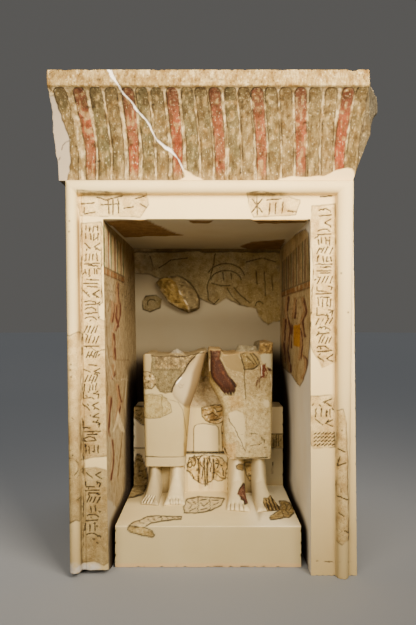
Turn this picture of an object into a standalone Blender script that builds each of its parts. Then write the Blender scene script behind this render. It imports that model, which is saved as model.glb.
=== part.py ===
# Stone shrine with two seated statues, about sixty per cent of life size.
# Metres, +Z up, the open front faces -Y, the floor is Z = 0.
# Four separate pieces: cornice block, walls with ceiling, upper and lower statue blocks.
import math

import bmesh
import bpy

for item in list(bpy.data.objects):
    bpy.data.objects.remove(item)

# Joints and shading
JOINT_GAP = 0.0003
SMOOTH_ANGLE = math.radians(32.0)
FLAT_ANGLE = math.radians(0.05)
MERGE_DISTANCE = 0.00002

# Niche and the walls round it, measured at the top; the foot of each edge leans to +X
NICHE_WIDTH = 0.5916
NICHE_CENTRE_X = -0.0068
NICHE_HEIGHT = 1.016
NICHE_DEPTH = 0.855
LEFT_WALL = 0.1044
RIGHT_WALL = 0.121
BACK_WALL = 0.080
LINTEL_HEIGHT = 0.1085
NICHE_LEFT_LEAN = 0.0166
NICHE_RIGHT_LEAN = 0.0016
WALL_LEFT_LEAN = 0.014
WALL_RIGHT_LEAN = 0.012
CHIP_HEIGHT = 0.0165
CHIP_DEPTH = 0.052

# Cornice block
CORNICE_REACH_FRONT = 0.120
CORNICE_REACH_SIDE = 0.106
CORNICE_LEFT_STEP = 0.003
CAVETTO_HEIGHT = 0.2325
FILLET_HEIGHT = 0.044
FILLET_LIP = 0.006
FILLET_SLOPE = 0.0015
CAVETTO_LEAN = 0.45
CAVETTO_ARC = 0.98
SIDE_BULGE = 0.0075
LEFT_PATCH = 0.018
BREAK_ROUGHNESS = 0.0045

# Leaves carved on the front of the cornice
LEAF_COUNT = 21
LEAF_LEFT_MARGIN = 0.0083
LEAF_RIGHT_MARGIN = 0.0017
LEAF_SHARE = 0.70
LEAF_RISE = 0.0020
LEAF_EDGE = 0.0010
LEAF_TAPER = 0.035
LEAF_SPRING = 0.885
LEAF_TOP = 0.968
LEAF_STEP = 0.008

# Round mouldings on the front of the walls
ROLL_REACH = 0.030
ROLL_STRAIGHT = 0.012
ROLL_HEIGHT = 0.0395
ROLL_LEFT_WIDTH = 0.031
ROLL_RIGHT_TOP_WIDTH = 0.049
ROLL_RIGHT_FOOT_WIDTH = 0.033
ROLL_RIGHT_FOOT_INSET = 0.027
ROLL_EMBED = 0.006
ROLL_STEPS = 8
QUIRK_WIDTH = 0.012
QUIRK_DEPTH = 0.004
QUIRK_TOP_GAP = 0.004

# Broken stone left standing out of the back wall
STUMP_OFFSET_X = -0.1202
STUMP_DROP = 0.180
STUMP_HALF_WIDTH = 0.085
STUMP_HALF_HEIGHT = 0.067
STUMP_REACH = 0.098
STUMP_TILT = math.radians(-28.0)
STUMP_SIDES = 11
STUMP_ROOT = 0.020

# Statue blocks: plinth and bench
PLINTH_LEFT_GAP = 0.009
PLINTH_RIGHT_GAP = 0.0186
PLINTH_SETBACK = 0.067
PLINTH_BACK_GAP = 0.075
PLINTH_HEIGHT = 0.122
BENCH_BACK_STEP = 0.040
BENCH_DEPTH = 0.160
LOWER_LEG = 0.136
BENCH_RISE = 0.152

# Figures: reaches are in front of the bench, rises above the joint of the two blocks
LEFT_KNEE_REACH = 0.170
RIGHT_KNEE_REACH = 0.200
LEFT_LAP_RISE = 0.348
RIGHT_LAP_RISE = 0.354
LAP_BACK_STEP = 0.025
HEM_DEPTH = 0.0315
HEM_BOW = 0.008
SKIRT_BOW = 0.010
OUTER_RADIUS = 0.014
LEFT_INNER_RADIUS = 0.034
RIGHT_INNER_RADIUS = 0.026
LAP_ROUGHNESS = 0.004
ARM_RISE = 0.013
FINGER_COUNT = 4

# Edges of the figures as shares of the plinth width
LEFT_SIDE = (0.1026, 0.0893)
LEFT_INNER = (0.3588, 0.3843, 0.4390, 0.4918)
RIGHT_INNER = (0.6002, 0.5902, 0.5064, 0.4984)
RIGHT_SIDE = (0.8898, 0.9016)
INNER_HEIGHTS = (0.0, 0.47, 0.70, 1.0)

# Block between the figures, edges as shares of the plinth width
MIDDLE_EDGES = (0.3552, 0.6175)
MIDDLE_PANEL = (0.4080, 0.5719)
MIDDLE_REACH = 0.090
MIDDLE_RISE = 0.1625
MIDDLE_PANEL_RISE = 0.102
MIDDLE_PANEL_STEP = 0.006
MIDDLE_BACK_STEP = 0.020
MIDDLE_LOWER_STEP = 0.004

# Legs and feet
FOOT_EMBED = 0.004
LEG_DEPTH = 0.060
LEG_SIDES = 12
LEG_SETBACK = 0.015
TOE_HEIGHT = 0.019
TOE_GROOVE = 0.006
LEFT_FOOT_REACH = 0.120
RIGHT_FOOT_REACH = 0.168
HEEL_SETBACK = 0.042
SHADE_REACH = 0.110

# Derived planes and edges
TOTAL_DEPTH = CORNICE_REACH_FRONT + NICHE_DEPTH + BACK_WALL
FRONT_Y = -TOTAL_DEPTH / 2.0
BACK_Y = TOTAL_DEPTH / 2.0
DOOR_Y = FRONT_Y + CORNICE_REACH_FRONT
NICHE_BACK_Y = DOOR_Y + NICHE_DEPTH
WALL_TOP = NICHE_HEIGHT + LINTEL_HEIGHT
CAVETTO_TOP = WALL_TOP + JOINT_GAP + CAVETTO_HEIGHT
TOTAL_HEIGHT = CAVETTO_TOP + FILLET_HEIGHT
NICHE_LEFT = NICHE_CENTRE_X - NICHE_WIDTH / 2.0
NICHE_RIGHT = NICHE_CENTRE_X + NICHE_WIDTH / 2.0
WALL_LEFT = NICHE_LEFT - LEFT_WALL
WALL_RIGHT = NICHE_RIGHT + RIGHT_WALL
CORNICE_LEFT = WALL_LEFT - CORNICE_LEFT_STEP
CORNICE_RIGHT = WALL_RIGHT
LEAF_FIRST_X = CORNICE_LEFT + LEAF_LEFT_MARGIN
LEAF_PITCH = (CORNICE_RIGHT - LEAF_RIGHT_MARGIN - LEAF_FIRST_X) / (LEAF_COUNT - 1)
LEAF_HALF_WIDTH = LEAF_SHARE * LEAF_PITCH / 2.0
PLINTH_LEFT = NICHE_LEFT + NICHE_LEFT_LEAN + PLINTH_LEFT_GAP
PLINTH_RIGHT = NICHE_RIGHT + NICHE_RIGHT_LEAN - PLINTH_RIGHT_GAP
PLINTH_FRONT_Y = DOOR_Y + PLINTH_SETBACK
PLINTH_BACK_Y = NICHE_BACK_Y - PLINTH_BACK_GAP
BENCH_BACK_Y = PLINTH_BACK_Y - BENCH_BACK_STEP
BENCH_FRONT_Y = BENCH_BACK_Y - BENCH_DEPTH
LAP_BACK_Y = BENCH_BACK_Y - LAP_BACK_STEP
LEFT_KNEE_Y = BENCH_FRONT_Y - LEFT_KNEE_REACH
RIGHT_KNEE_Y = BENCH_FRONT_Y - RIGHT_KNEE_REACH
MIDDLE_Y = BENCH_FRONT_Y - MIDDLE_REACH
MIDDLE_BACK_Y = BENCH_BACK_Y - MIDDLE_BACK_STEP
STATUE_JOINT = PLINTH_HEIGHT + LOWER_LEG
GROUP_FOOT = STATUE_JOINT + JOINT_GAP
BENCH_TOP = STATUE_JOINT + BENCH_RISE
LEFT_LAP = STATUE_JOINT + LEFT_LAP_RISE
RIGHT_LAP = STATUE_JOINT + RIGHT_LAP_RISE
LEG_FOOT = PLINTH_HEIGHT - FOOT_EMBED


def lerp(start, end, share):
    """Value between start and end at the given share."""
    return start + (end - start) * share


def between(value, pairs):
    """Straight-line value through a short list of (position, value) pairs."""
    if value <= pairs[0][0]:
        return pairs[0][1]
    for (low, first), (high, last) in zip(pairs, pairs[1:]):
        if value <= high:
            return lerp(first, last, (value - low) / (high - low))
    return pairs[-1][1]


def rough(first, second, phase):
    """Repeatable uneven value, about -1 to 1, for broken faces."""
    value = math.sin(31.0 * first + 2.1 * phase) * math.cos(43.0 * second - 1.7 * phase)
    value += 0.6 * math.sin(97.0 * first - 71.0 * second + 3.3 * phase)
    return value / 1.6


def make_object(name, mesh):
    """Scene object from a finished bmesh, with outward faces."""
    bmesh.ops.recalc_face_normals(mesh, faces=mesh.faces)
    data = bpy.data.meshes.new(name)
    mesh.to_mesh(data)
    mesh.free()
    item = bpy.data.objects.new(name, data)
    bpy.context.scene.collection.objects.link(item)
    return item


def shell(name, counts, place):
    """Closed box-like skin of counts cells along x, y and z, with corners at place(i, j, k)."""
    across, deep, high = counts
    mesh = bmesh.new()
    corners = {}

    def at(i, j, k):
        if (i, j, k) not in corners:
            corners[(i, j, k)] = mesh.verts.new(place(i, j, k))
        return corners[(i, j, k)]

    for i in range(across):
        for j in range(deep):
            mesh.faces.new((at(i, j, 0), at(i, j + 1, 0), at(i + 1, j + 1, 0), at(i + 1, j, 0)))
            mesh.faces.new((at(i, j, high), at(i + 1, j, high), at(i + 1, j + 1, high), at(i, j + 1, high)))
        for k in range(high):
            mesh.faces.new((at(i, 0, k), at(i + 1, 0, k), at(i + 1, 0, k + 1), at(i, 0, k + 1)))
            mesh.faces.new((at(i, deep, k), at(i, deep, k + 1), at(i + 1, deep, k + 1), at(i + 1, deep, k)))
    for j in range(deep):
        for k in range(high):
            mesh.faces.new((at(0, j, k), at(0, j, k + 1), at(0, j + 1, k + 1), at(0, j + 1, k)))
            mesh.faces.new((at(across, j, k), at(across, j + 1, k),
                            at(across, j + 1, k + 1), at(across, j, k + 1)))
    return make_object(name, mesh)


def loft(name, sections):
    """Closed solid through a row of closed loops with equal point counts."""
    mesh = bmesh.new()
    rings = [[mesh.verts.new(point) for point in section] for section in sections]
    count = len(rings[0])
    for ring, following in zip(rings, rings[1:]):
        for index in range(count):
            after = (index + 1) % count
            mesh.faces.new((ring[index], ring[after], following[after], following[index]))
    mesh.faces.new(list(reversed(rings[0])))
    mesh.faces.new(rings[-1])
    return make_object(name, mesh)


def box(name, low, high):
    """Plain block between two opposite corners."""
    def place(i, j, k):
        return (high[0] if i else low[0], high[1] if j else low[1], high[2] if k else low[2])
    return shell(name, (1, 1, 1), place)


def tidy_faces(data):
    """Merge touching corners and flat neighbours, then split every face into triangles."""
    mesh = bmesh.new()
    mesh.from_mesh(data)
    bmesh.ops.remove_doubles(mesh, verts=mesh.verts, dist=MERGE_DISTANCE)
    bmesh.ops.dissolve_limit(mesh, angle_limit=FLAT_ANGLE, verts=mesh.verts, edges=mesh.edges)
    bmesh.ops.triangulate(mesh, faces=mesh.faces)
    mesh.to_mesh(data)
    mesh.free()


def apply_boolean(target, tool, operation):
    """Join or cut the target with the tool solid and drop the tool."""
    tool.hide_render = True
    tool.display_type = "WIRE"
    modifier = target.modifiers.new("shape", "BOOLEAN")
    modifier.operation = operation
    modifier.solver = "EXACT"
    modifier.object = tool
    graph = bpy.context.evaluated_depsgraph_get()
    data = bpy.data.meshes.new_from_object(target.evaluated_get(graph))
    target.modifiers.clear()
    target.data = data
    bpy.data.objects.remove(tool)
    tidy_faces(data)


def join(target, *tools):
    """Fuse solids into the target."""
    for tool in tools:
        apply_boolean(target, tool, "UNION")


def cut(target, *tools):
    """Take solids away from the target."""
    for tool in tools:
        apply_boolean(target, tool, "DIFFERENCE")


def finish(item, colour, roughness):
    """Set smooth shading on round parts and give the stone its material."""
    tidy_faces(item.data)
    item.data.polygons.foreach_set("use_smooth", [True] * len(item.data.polygons))
    item.data.set_sharp_from_angle(angle=SMOOTH_ANGLE)
    material = bpy.data.materials.new(item.name + "_stone")
    material.use_nodes = True
    surface = material.node_tree.nodes["Principled BSDF"]
    surface.inputs["Base Color"].default_value = colour
    surface.inputs["Roughness"].default_value = roughness
    item.data.materials.clear()
    item.data.materials.append(material)


def cavetto(share):
    """Outward reach, 0 to 1, of the hollow moulding at a share of its height."""
    arc = 1.0 - math.sqrt(1.0 - (CAVETTO_ARC * share) ** 2)
    arc /= 1.0 - math.sqrt(1.0 - CAVETTO_ARC ** 2)
    return CAVETTO_LEAN * share + (1.0 - CAVETTO_LEAN) * arc


# Cornice: rows climb the hollow, pass the leaf tips and end in the flat fillet
def leaf_columns():
    """Column list of (x at the top, raised or not, place within the leaf from -1 to 1)."""
    columns = [(None, False, -1.0)]
    for index in range(LEAF_COUNT):
        middle = LEAF_FIRST_X + index * LEAF_PITCH
        outer = LEAF_HALF_WIDTH + LEAF_EDGE
        columns.append((middle - outer, False, -1.0))
        for share in (-1.0, -0.8, -0.4, 0.0, 0.4, 0.8, 1.0):
            columns.append((middle + share * LEAF_HALF_WIDTH, True, share))
        columns.append((middle + outer, False, 1.0))
    columns.append((None, False, 1.0))
    return columns


COLUMNS = leaf_columns()
LEAF_ROWS = (0.0, 0.14, 0.30, 0.46, 0.60, 0.72, 0.81, LEAF_SPRING)
ROW_ARCH = len(LEAF_ROWS)
ROW_ABOVE = ROW_ARCH + 1
ROW_FILLET_FOOT = ROW_ARCH + 3
ROW_FILLET_TOP = ROW_ARCH + 4


def cornice_point(i, j, k):
    """Corner of the cornice skin: column i, front or back j, row k."""
    top_x, raised, within = COLUMNS[i]
    arch = math.sqrt(max(0.0, 1.0 - within * within))
    arch_share = lerp(LEAF_SPRING + 0.004, LEAF_TOP, arch)
    if k < ROW_ARCH:
        share = LEAF_ROWS[k]
    elif k == ROW_ARCH:
        share = arch_share
    elif k == ROW_ABOVE:
        share = arch_share + LEAF_STEP
    else:
        share = 1.0
    reach = cavetto(share)
    z = lerp(WALL_TOP + JOINT_GAP, CAVETTO_TOP - FILLET_SLOPE, share)
    if k == ROW_FILLET_FOOT:
        z = CAVETTO_TOP
    elif k == ROW_FILLET_TOP:
        z = TOTAL_HEIGHT
    lip = FILLET_LIP if k >= ROW_FILLET_FOOT else 0.0
    side = (CORNICE_REACH_SIDE - FILLET_LIP) * reach + lip + SIDE_BULGE * math.sin(math.pi * share)
    if top_x is None:
        x = CORNICE_RIGHT + side if i else CORNICE_LEFT - max(side, LEFT_PATCH)
    else:
        x = top_x * (1.0 - LEAF_TAPER * (1.0 - share))
    if j:
        return (x, BACK_Y, z)
    y = DOOR_Y - (CORNICE_REACH_FRONT - FILLET_LIP) * reach - lip
    if raised and k <= ROW_ARCH:
        y -= LEAF_RISE
    return (x, y, z)


def break_cutter(name, corner_x, side, path, phase):
    """Block whose inner face follows a broken plan line of (distance in from the corner, depth)."""
    rows = 9
    low = WALL_TOP - FILLET_HEIGHT
    high = TOTAL_HEIGHT + FILLET_HEIGHT

    def place(i, j, k):
        inset, depth = path[j]
        y = FRONT_Y + depth
        z = lerp(low, high, k / rows)
        if i:
            return (corner_x + side * CORNICE_REACH_SIDE, y, z)
        return (corner_x - side * inset + BREAK_ROUGHNESS * rough(y, z, phase), y, z)
    return shell(name, (1, len(path) - 1, rows), place)


cornice = shell("cornice", (len(COLUMNS) - 1, 1, ROW_FILLET_TOP), cornice_point)
cut(cornice,
    break_cutter("right_break", CORNICE_RIGHT + CORNICE_REACH_SIDE, 1.0,
                 ((0.092, -0.030), (0.087, 0.0), (0.069, 0.0675), (0.051, 0.1375), (0.032, 0.1825),
                  (0.016, 0.2225), (-0.012, 0.3125)), 1.0),
    break_cutter("left_break", CORNICE_LEFT - CORNICE_REACH_SIDE, -1.0,
                 ((0.080, -0.030), (0.083, 0.0575), (0.086, 0.1275), (0.085, 0.1875), (0.080, 0.2475),
                  (0.069, 0.3025), (0.038, 0.4025), (-0.008, 0.5575)), 2.0))
finish(cornice, (0.62, 0.47, 0.30, 1.0), 0.85)


# Walls, back and ceiling in one block, open to the front and underneath
def edge_x(top, lean, z, full):
    """Leaning upright edge: top position, how far its foot moves to +X, at height z of full."""
    return top + lean * (1.0 - z / full)


def upright_block(name, left, right, front, back, low, high, full):
    """Block with leaning left and right faces, each given as (top, lean)."""
    def place(i, j, k):
        z = high if k else low
        top, lean = right if i else left
        return (edge_x(top, lean, z, full), back if j else front, z)
    return shell(name, (1, 1, 1), place)


def roll_station(outer, inner):
    """Cross-section of the round moulding between an outer and an inner edge point (x, z)."""
    points = []
    for step in range(ROLL_STEPS + 1):
        angle = math.pi * step / ROLL_STEPS
        share = (1.0 - math.cos(angle)) / 2.0
        reach = ROLL_STRAIGHT + (ROLL_REACH - ROLL_STRAIGHT) * math.sin(angle)
        points.append((lerp(outer[0], inner[0], share), DOOR_Y - reach, lerp(outer[1], inner[1], share)))
    points.append((inner[0], DOOR_Y + ROLL_EMBED, inner[1]))
    points.append((outer[0], DOOR_Y + ROLL_EMBED, outer[1]))
    return points


def stump_ring(scale, y, phase):
    """One outline of the broken stump, an uneven tilted oval."""
    ring = []
    for step in range(STUMP_SIDES):
        angle = 2.0 * math.pi * step / STUMP_SIDES
        uneven = 1.0 + 0.10 * math.sin(2.3 * step + phase)
        across = STUMP_HALF_WIDTH * scale * uneven * math.cos(angle)
        up = STUMP_HALF_HEIGHT * scale * uneven * math.sin(angle)
        x = NICHE_CENTRE_X + STUMP_OFFSET_X + across * math.cos(STUMP_TILT) - up * math.sin(STUMP_TILT)
        z = NICHE_HEIGHT - STUMP_DROP + across * math.sin(STUMP_TILT) + up * math.cos(STUMP_TILT)
        ring.append((x, y, z))
    return ring


body = upright_block("shrine_body", (WALL_LEFT, WALL_LEFT_LEAN), (WALL_RIGHT, WALL_RIGHT_LEAN),
                     DOOR_Y, BACK_Y, 0.0, WALL_TOP, WALL_TOP)
cut(body, upright_block("niche", (NICHE_LEFT, NICHE_LEFT_LEAN), (NICHE_RIGHT, NICHE_RIGHT_LEAN),
                        DOOR_Y - ROLL_REACH, NICHE_BACK_Y, -ROLL_REACH, NICHE_HEIGHT, NICHE_HEIGHT))
ROLL_UNDER = WALL_TOP - ROLL_HEIGHT
LEFT_FOOT = WALL_LEFT + WALL_LEFT_LEAN
RIGHT_ROLL_FOOT = WALL_RIGHT + WALL_RIGHT_LEAN - ROLL_RIGHT_FOOT_INSET
join(body, loft("roll", [
    roll_station((LEFT_FOOT, 0.0), (LEFT_FOOT + ROLL_LEFT_WIDTH, 0.0)),
    roll_station((WALL_LEFT, WALL_TOP), (WALL_LEFT + ROLL_LEFT_WIDTH, ROLL_UNDER)),
    roll_station((WALL_RIGHT, WALL_TOP), (WALL_RIGHT - ROLL_RIGHT_TOP_WIDTH, ROLL_UNDER)),
    roll_station((RIGHT_ROLL_FOOT, 0.0), (RIGHT_ROLL_FOOT - ROLL_RIGHT_FOOT_WIDTH, 0.0))]))
QUIRK_LEFT = WALL_LEFT + ROLL_LEFT_WIDTH
cut(body,
    upright_block("left_quirk", (QUIRK_LEFT, WALL_LEFT_LEAN), (QUIRK_LEFT + QUIRK_WIDTH, WALL_LEFT_LEAN),
                  DOOR_Y - 2.0 * ROLL_REACH, DOOR_Y + QUIRK_DEPTH, -QUIRK_WIDTH,
                  ROLL_UNDER - QUIRK_TOP_GAP, WALL_TOP),
    box("left_chip", (WALL_LEFT - ROLL_REACH, DOOR_Y - 2.0 * ROLL_REACH, -CHIP_HEIGHT),
        (NICHE_LEFT + NICHE_LEFT_LEAN + JOINT_GAP, DOOR_Y + CHIP_DEPTH, CHIP_HEIGHT)))
join(body, loft("stump", [
    stump_ring(0.96, NICHE_BACK_Y + STUMP_ROOT, 0.0),
    stump_ring(1.02, NICHE_BACK_Y - 0.20 * STUMP_REACH, 0.3),
    stump_ring(0.88, NICHE_BACK_Y - 0.60 * STUMP_REACH, 0.9),
    stump_ring(0.46, NICHE_BACK_Y - STUMP_REACH, 1.4)]))
finish(body, (0.70, 0.58, 0.40, 1.0), 0.80)


# Seated figures: front skin with rounded sides, sloping inner edge and broken lap
def across(share):
    """X on the statue blocks at a share of the plinth width."""
    return lerp(PLINTH_LEFT, PLINTH_RIGHT, share)


def corner_round(distance, radius):
    """Depth lost at a distance from a rounded upright corner."""
    if distance >= radius:
        return 0.0
    return radius - math.sqrt(radius * radius - (radius - distance) ** 2)


def skirt(name, low, sides, radii, front, lap, bow):
    """Skirted block: sides and lap are functions, radii round the left and right front corners."""
    corner = (0.0, 0.12, 0.45, 1.0)
    middle = (0.2, 0.4, 0.6, 0.8)
    rows = (0.0, 0.12, 0.28, 0.45, 0.60, 0.72, 0.84, 0.93, 1.0)
    depths = (0.0, 0.07, 0.20, 0.40, 0.70, 1.0)
    columns = 2 * len(corner) + len(middle) - 1
    full = lap(0.5, 0.0)

    def place(i, j, k):
        left, right = sides(low + rows[k] * (full - low))
        width = right - left
        first = radii[0] / width
        last = 1.0 - radii[1] / width
        stops = [share * first for share in corner]
        stops += [lerp(first, last, share) for share in middle]
        stops += [1.0 - share * (1.0 - last) for share in reversed(corner)]
        share = stops[i]
        z = low + rows[k] * (lap(share, depths[j]) - low)
        y = front + corner_round(share * width, radii[0]) + corner_round((1.0 - share) * width, radii[1])
        y += bow * (1.0 - math.sin(math.pi * share)) / 2.0
        return (left + share * width, lerp(y, LAP_BACK_Y, depths[j]), z)
    return shell(name, (columns, len(depths) - 1, len(rows) - 1), place)


def side_edges(z, lap, outer, inner):
    """Outer and inner edge of a figure at height z, from their shares of the plinth width."""
    up = (z - STATUE_JOINT) / (lap - STATUE_JOINT)
    return (across(between(up, ((0.0, outer[0]), (1.0, outer[1])))),
            across(between(up, tuple(zip(INNER_HEIGHTS, inner)))))


def left_sides(z):
    """Left and right edge of the left figure at a height."""
    return side_edges(z, LEFT_LAP, LEFT_SIDE, LEFT_INNER)


def right_sides(z):
    """Left and right edge of the right figure at a height."""
    outer, inner = side_edges(z, RIGHT_LAP, RIGHT_SIDE, RIGHT_INNER)
    return inner, outer


def left_lap(share, depth):
    """Broken top of the left figure."""
    top = LEFT_LAP + between(share, ((0.0, 0.003), (0.45, -0.004), (0.75, 0.002), (1.0, 0.013)))
    peak = math.exp(-((share - 0.56) / 0.13) ** 2 - ((depth - 0.2) / 0.12) ** 2)
    return top + 0.020 * peak + LAP_ROUGHNESS * rough(share * 0.22, depth * 0.3, 3.0) * min(1.0, 6.0 * depth)


def right_lap(share, depth):
    """Broken top of the right figure, higher on its outer side."""
    top = RIGHT_LAP + between(share, ((0.0, 0.014), (0.18, 0.014), (0.26, -0.002), (0.45, 0.002),
                                      (0.78, 0.012), (0.84, 0.036), (1.0, 0.042)))
    peak = math.exp(-((share - 0.60) / 0.20) ** 2 - ((depth - 0.2) / 0.14) ** 2)
    return top + 0.024 * peak + LAP_ROUGHNESS * rough(share * 0.22, depth * 0.3, 5.0) * min(1.0, 6.0 * depth)


def ridge(name, stations):
    """Low rounded form on the right figure's front. A station is (share across, share up,
    half width as a share across, rise, distance behind the knee plane)."""
    inner = across(RIGHT_INNER[-1])
    width = across(RIGHT_SIDE[-1]) - inner
    path = [(inner + width * share, lerp(STATUE_JOINT, RIGHT_LAP, up)) for share, up, _, _, _ in stations]
    sections = []
    for index, (_, _, half_share, rise, behind) in enumerate(stations):
        before = path[max(0, index - 1)]
        after = path[min(len(path) - 1, index + 1)]
        length = math.hypot(after[0] - before[0], after[1] - before[1])
        side_x = (before[1] - after[1]) / length
        side_z = (after[0] - before[0]) / length
        half = half_share * width
        x, z = path[index]
        y = RIGHT_KNEE_Y + behind
        ring = []
        for step in range(7):
            angle = math.pi * step / 6
            offset = -half * math.cos(angle)
            ring.append((x + side_x * offset, y - rise * math.sin(angle), z + side_z * offset))
        ring.append((x + side_x * half, y + OUTER_RADIUS, z + side_z * half))
        ring.append((x - side_x * half, y + OUTER_RADIUS, z - side_z * half))
        sections.append(ring)
    return loft(name, sections)


def middle_block():
    """Upper half of the block between the figures, with the web of stone above it."""
    left, right = across(MIDDLE_PANEL[0]), across(MIDDLE_PANEL[1])
    stops = (across(MIDDLE_EDGES[0]), left - LEAF_EDGE, left + LEAF_EDGE, lerp(left, right, 0.3),
             lerp(left, right, 0.7), right - LEAF_EDGE, right + LEAF_EDGE, across(MIDDLE_EDGES[1]))
    panel_top = STATUE_JOINT + MIDDLE_PANEL_RISE
    top = STATUE_JOINT + MIDDLE_RISE
    levels = [(GROUP_FOOT, 0.0), (lerp(GROUP_FOOT, panel_top, 0.5), 0.0), (panel_top - LEAF_EDGE, 0.0),
              (panel_top + LEAF_EDGE, 0.0), (top - 0.006, 0.0), (top, 0.010)]
    for share, recess in ((0.28, 0.050), (0.56, 0.066), (0.81, 0.045), (0.96, 0.030)):
        levels.append((lerp(top, LEFT_LAP, share), recess))

    def place(i, j, k):
        x = stops[i]
        z, recess = levels[k]
        if j:
            return (x, MIDDLE_BACK_Y, z)
        panel = 2 <= i <= 5 and k <= 2
        uneven = LAP_ROUGHNESS * rough(x, z, 7.0) if k >= 4 else 0.0
        return (x, MIDDLE_Y - (MIDDLE_PANEL_STEP if panel else 0.0) + recess + uneven, z)
    return shell("middle", (len(stops) - 1, 1, len(levels) - 1), place)


group = box("statue_group", (PLINTH_LEFT, BENCH_FRONT_Y, GROUP_FOOT), (PLINTH_RIGHT, BENCH_BACK_Y, BENCH_TOP))
left_skirt = skirt("left_skirt", GROUP_FOOT, left_sides, (OUTER_RADIUS, LEFT_INNER_RADIUS),
                   LEFT_KNEE_Y, left_lap, HEM_BOW)
right_skirt = skirt("right_skirt", GROUP_FOOT, right_sides, (RIGHT_INNER_RADIUS, OUTER_RADIUS),
                    RIGHT_KNEE_Y, right_lap, SKIRT_BOW)
forearm = ridge("forearm", (
    (0.112, 1.028, 0.086, ARM_RISE, 0.014),
    (0.106, 0.955, 0.068, ARM_RISE, 0.010),
    (0.143, 0.867, 0.090, ARM_RISE, 0.005),
    (0.189, 0.797, 0.097, ARM_RISE, 0.001),
    (0.255, 0.723, 0.093, 0.85 * ARM_RISE, 0.0),
    (0.300, 0.667, 0.077, 0.60 * ARM_RISE, 0.0)))
fingers = []
for finger in range(FINGER_COUNT):
    start = 0.250 + 0.125 * finger / (FINGER_COUNT - 1)
    knuckle = 0.684 + 0.038 * finger / (FINGER_COUNT - 1)
    fingers.append(ridge("finger", (
        (start, knuckle, 0.0226, 0.65 * ARM_RISE, 0.0),
        (start + 0.014, knuckle - 0.038, 0.0208, 0.62 * ARM_RISE, 0.0),
        (start + 0.023, knuckle - 0.076, 0.0154, 0.35 * ARM_RISE, 0.0))))
thumb = ridge("thumb", (
    (0.359, 0.791, 0.0226, 0.62 * ARM_RISE, 0.0),
    (0.399, 0.746, 0.0248, 0.65 * ARM_RISE, 0.0),
    (0.426, 0.698, 0.0181, 0.35 * ARM_RISE, 0.0)))
pleats = ridge("pleats", (
    (0.539, 0.983, 0.045, 0.30 * ARM_RISE, 0.0),
    (0.639, 0.960, 0.068, 0.45 * ARM_RISE, 0.0),
    (0.756, 0.904, 0.054, 0.30 * ARM_RISE, 0.0)))
join(group, left_skirt, right_skirt, middle_block(), forearm, *fingers, thumb, pleats)
finish(group, (0.66, 0.54, 0.37, 1.0), 0.85)


# Lower statue block: plinth, seat front, hem, legs and feet
def leg(name, edges, front, top_z):
    """Oval upright ankle between two shares of the plinth width, widest at the foot."""
    left, right = across(edges[0]), across(edges[1])
    middle = (left + right) / 2.0
    sections = []
    for share, swell in ((0.0, 1.12), (0.30, 1.02), (0.55, 0.97), (1.0, 1.06)):
        half = (right - left) / 2.0 * swell
        ring = []
        for step in range(LEG_SIDES):
            angle = 2.0 * math.pi * step / LEG_SIDES
            ring.append((middle + half * math.cos(angle), front + LEG_DEPTH + LEG_DEPTH * math.sin(angle),
                         lerp(LEG_FOOT, top_z, share)))
        sections.append(ring)
    return loft(name, sections)


def foot(name, toes, ankle, tip, heel, big_toe_left):
    """Foot on the plinth: toes and ankle are edge shares of the plinth width, tip and heel depths."""
    bounds = (0.0, 0.30, 0.50, 0.68, 0.84, 1.0)
    columns = []
    for low, high in zip(bounds, bounds[1:]):
        columns.append((low, True))
        columns.append(((low + high) / 2.0, False))
    columns.append((1.0, True))
    if not big_toe_left:
        columns = [(1.0 - share, groove) for share, groove in reversed(columns)]
    rows = (0.0, 0.05, 0.14, 0.20, 0.24, 0.40, 0.60, 0.80, 1.0)

    def place(i, j, k):
        share, groove = columns[i]
        inner = share if big_toe_left else 1.0 - share
        along = rows[j]
        left = across(lerp(toes[0], ankle[0], along ** 0.8))
        right = across(lerp(toes[1], ankle[1], along ** 0.8))
        y = lerp(tip + (heel - tip) * 0.14 * inner ** 1.6, heel, along)
        x = lerp(left, right, share)
        if not k:
            return (x, y, LEG_FOOT)
        dome = math.sqrt(max(0.0, 1.0 - (2.0 * share - 1.0) ** 2)) ** 0.5
        climb = between(along, ((0.0, 0.45), (0.05, 0.8), (0.14, 1.0), (0.24, 1.1), (0.40, 1.6),
                                (0.60, 2.3), (0.80, 3.3), (1.0, 4.8)))
        height = TOE_HEIGHT * climb * lerp(1.0, dome, 0.35 + 0.45 * along) * lerp(1.0, 0.8, inner)
        if groove and 0.0 < share < 1.0 and along < 0.22:
            height -= TOE_GROOVE
        return (x, y, PLINTH_HEIGHT + max(TOE_HEIGHT / 6.0, height))
    return shell(name, (len(columns) - 1, len(rows) - 1, 1), place)


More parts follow.
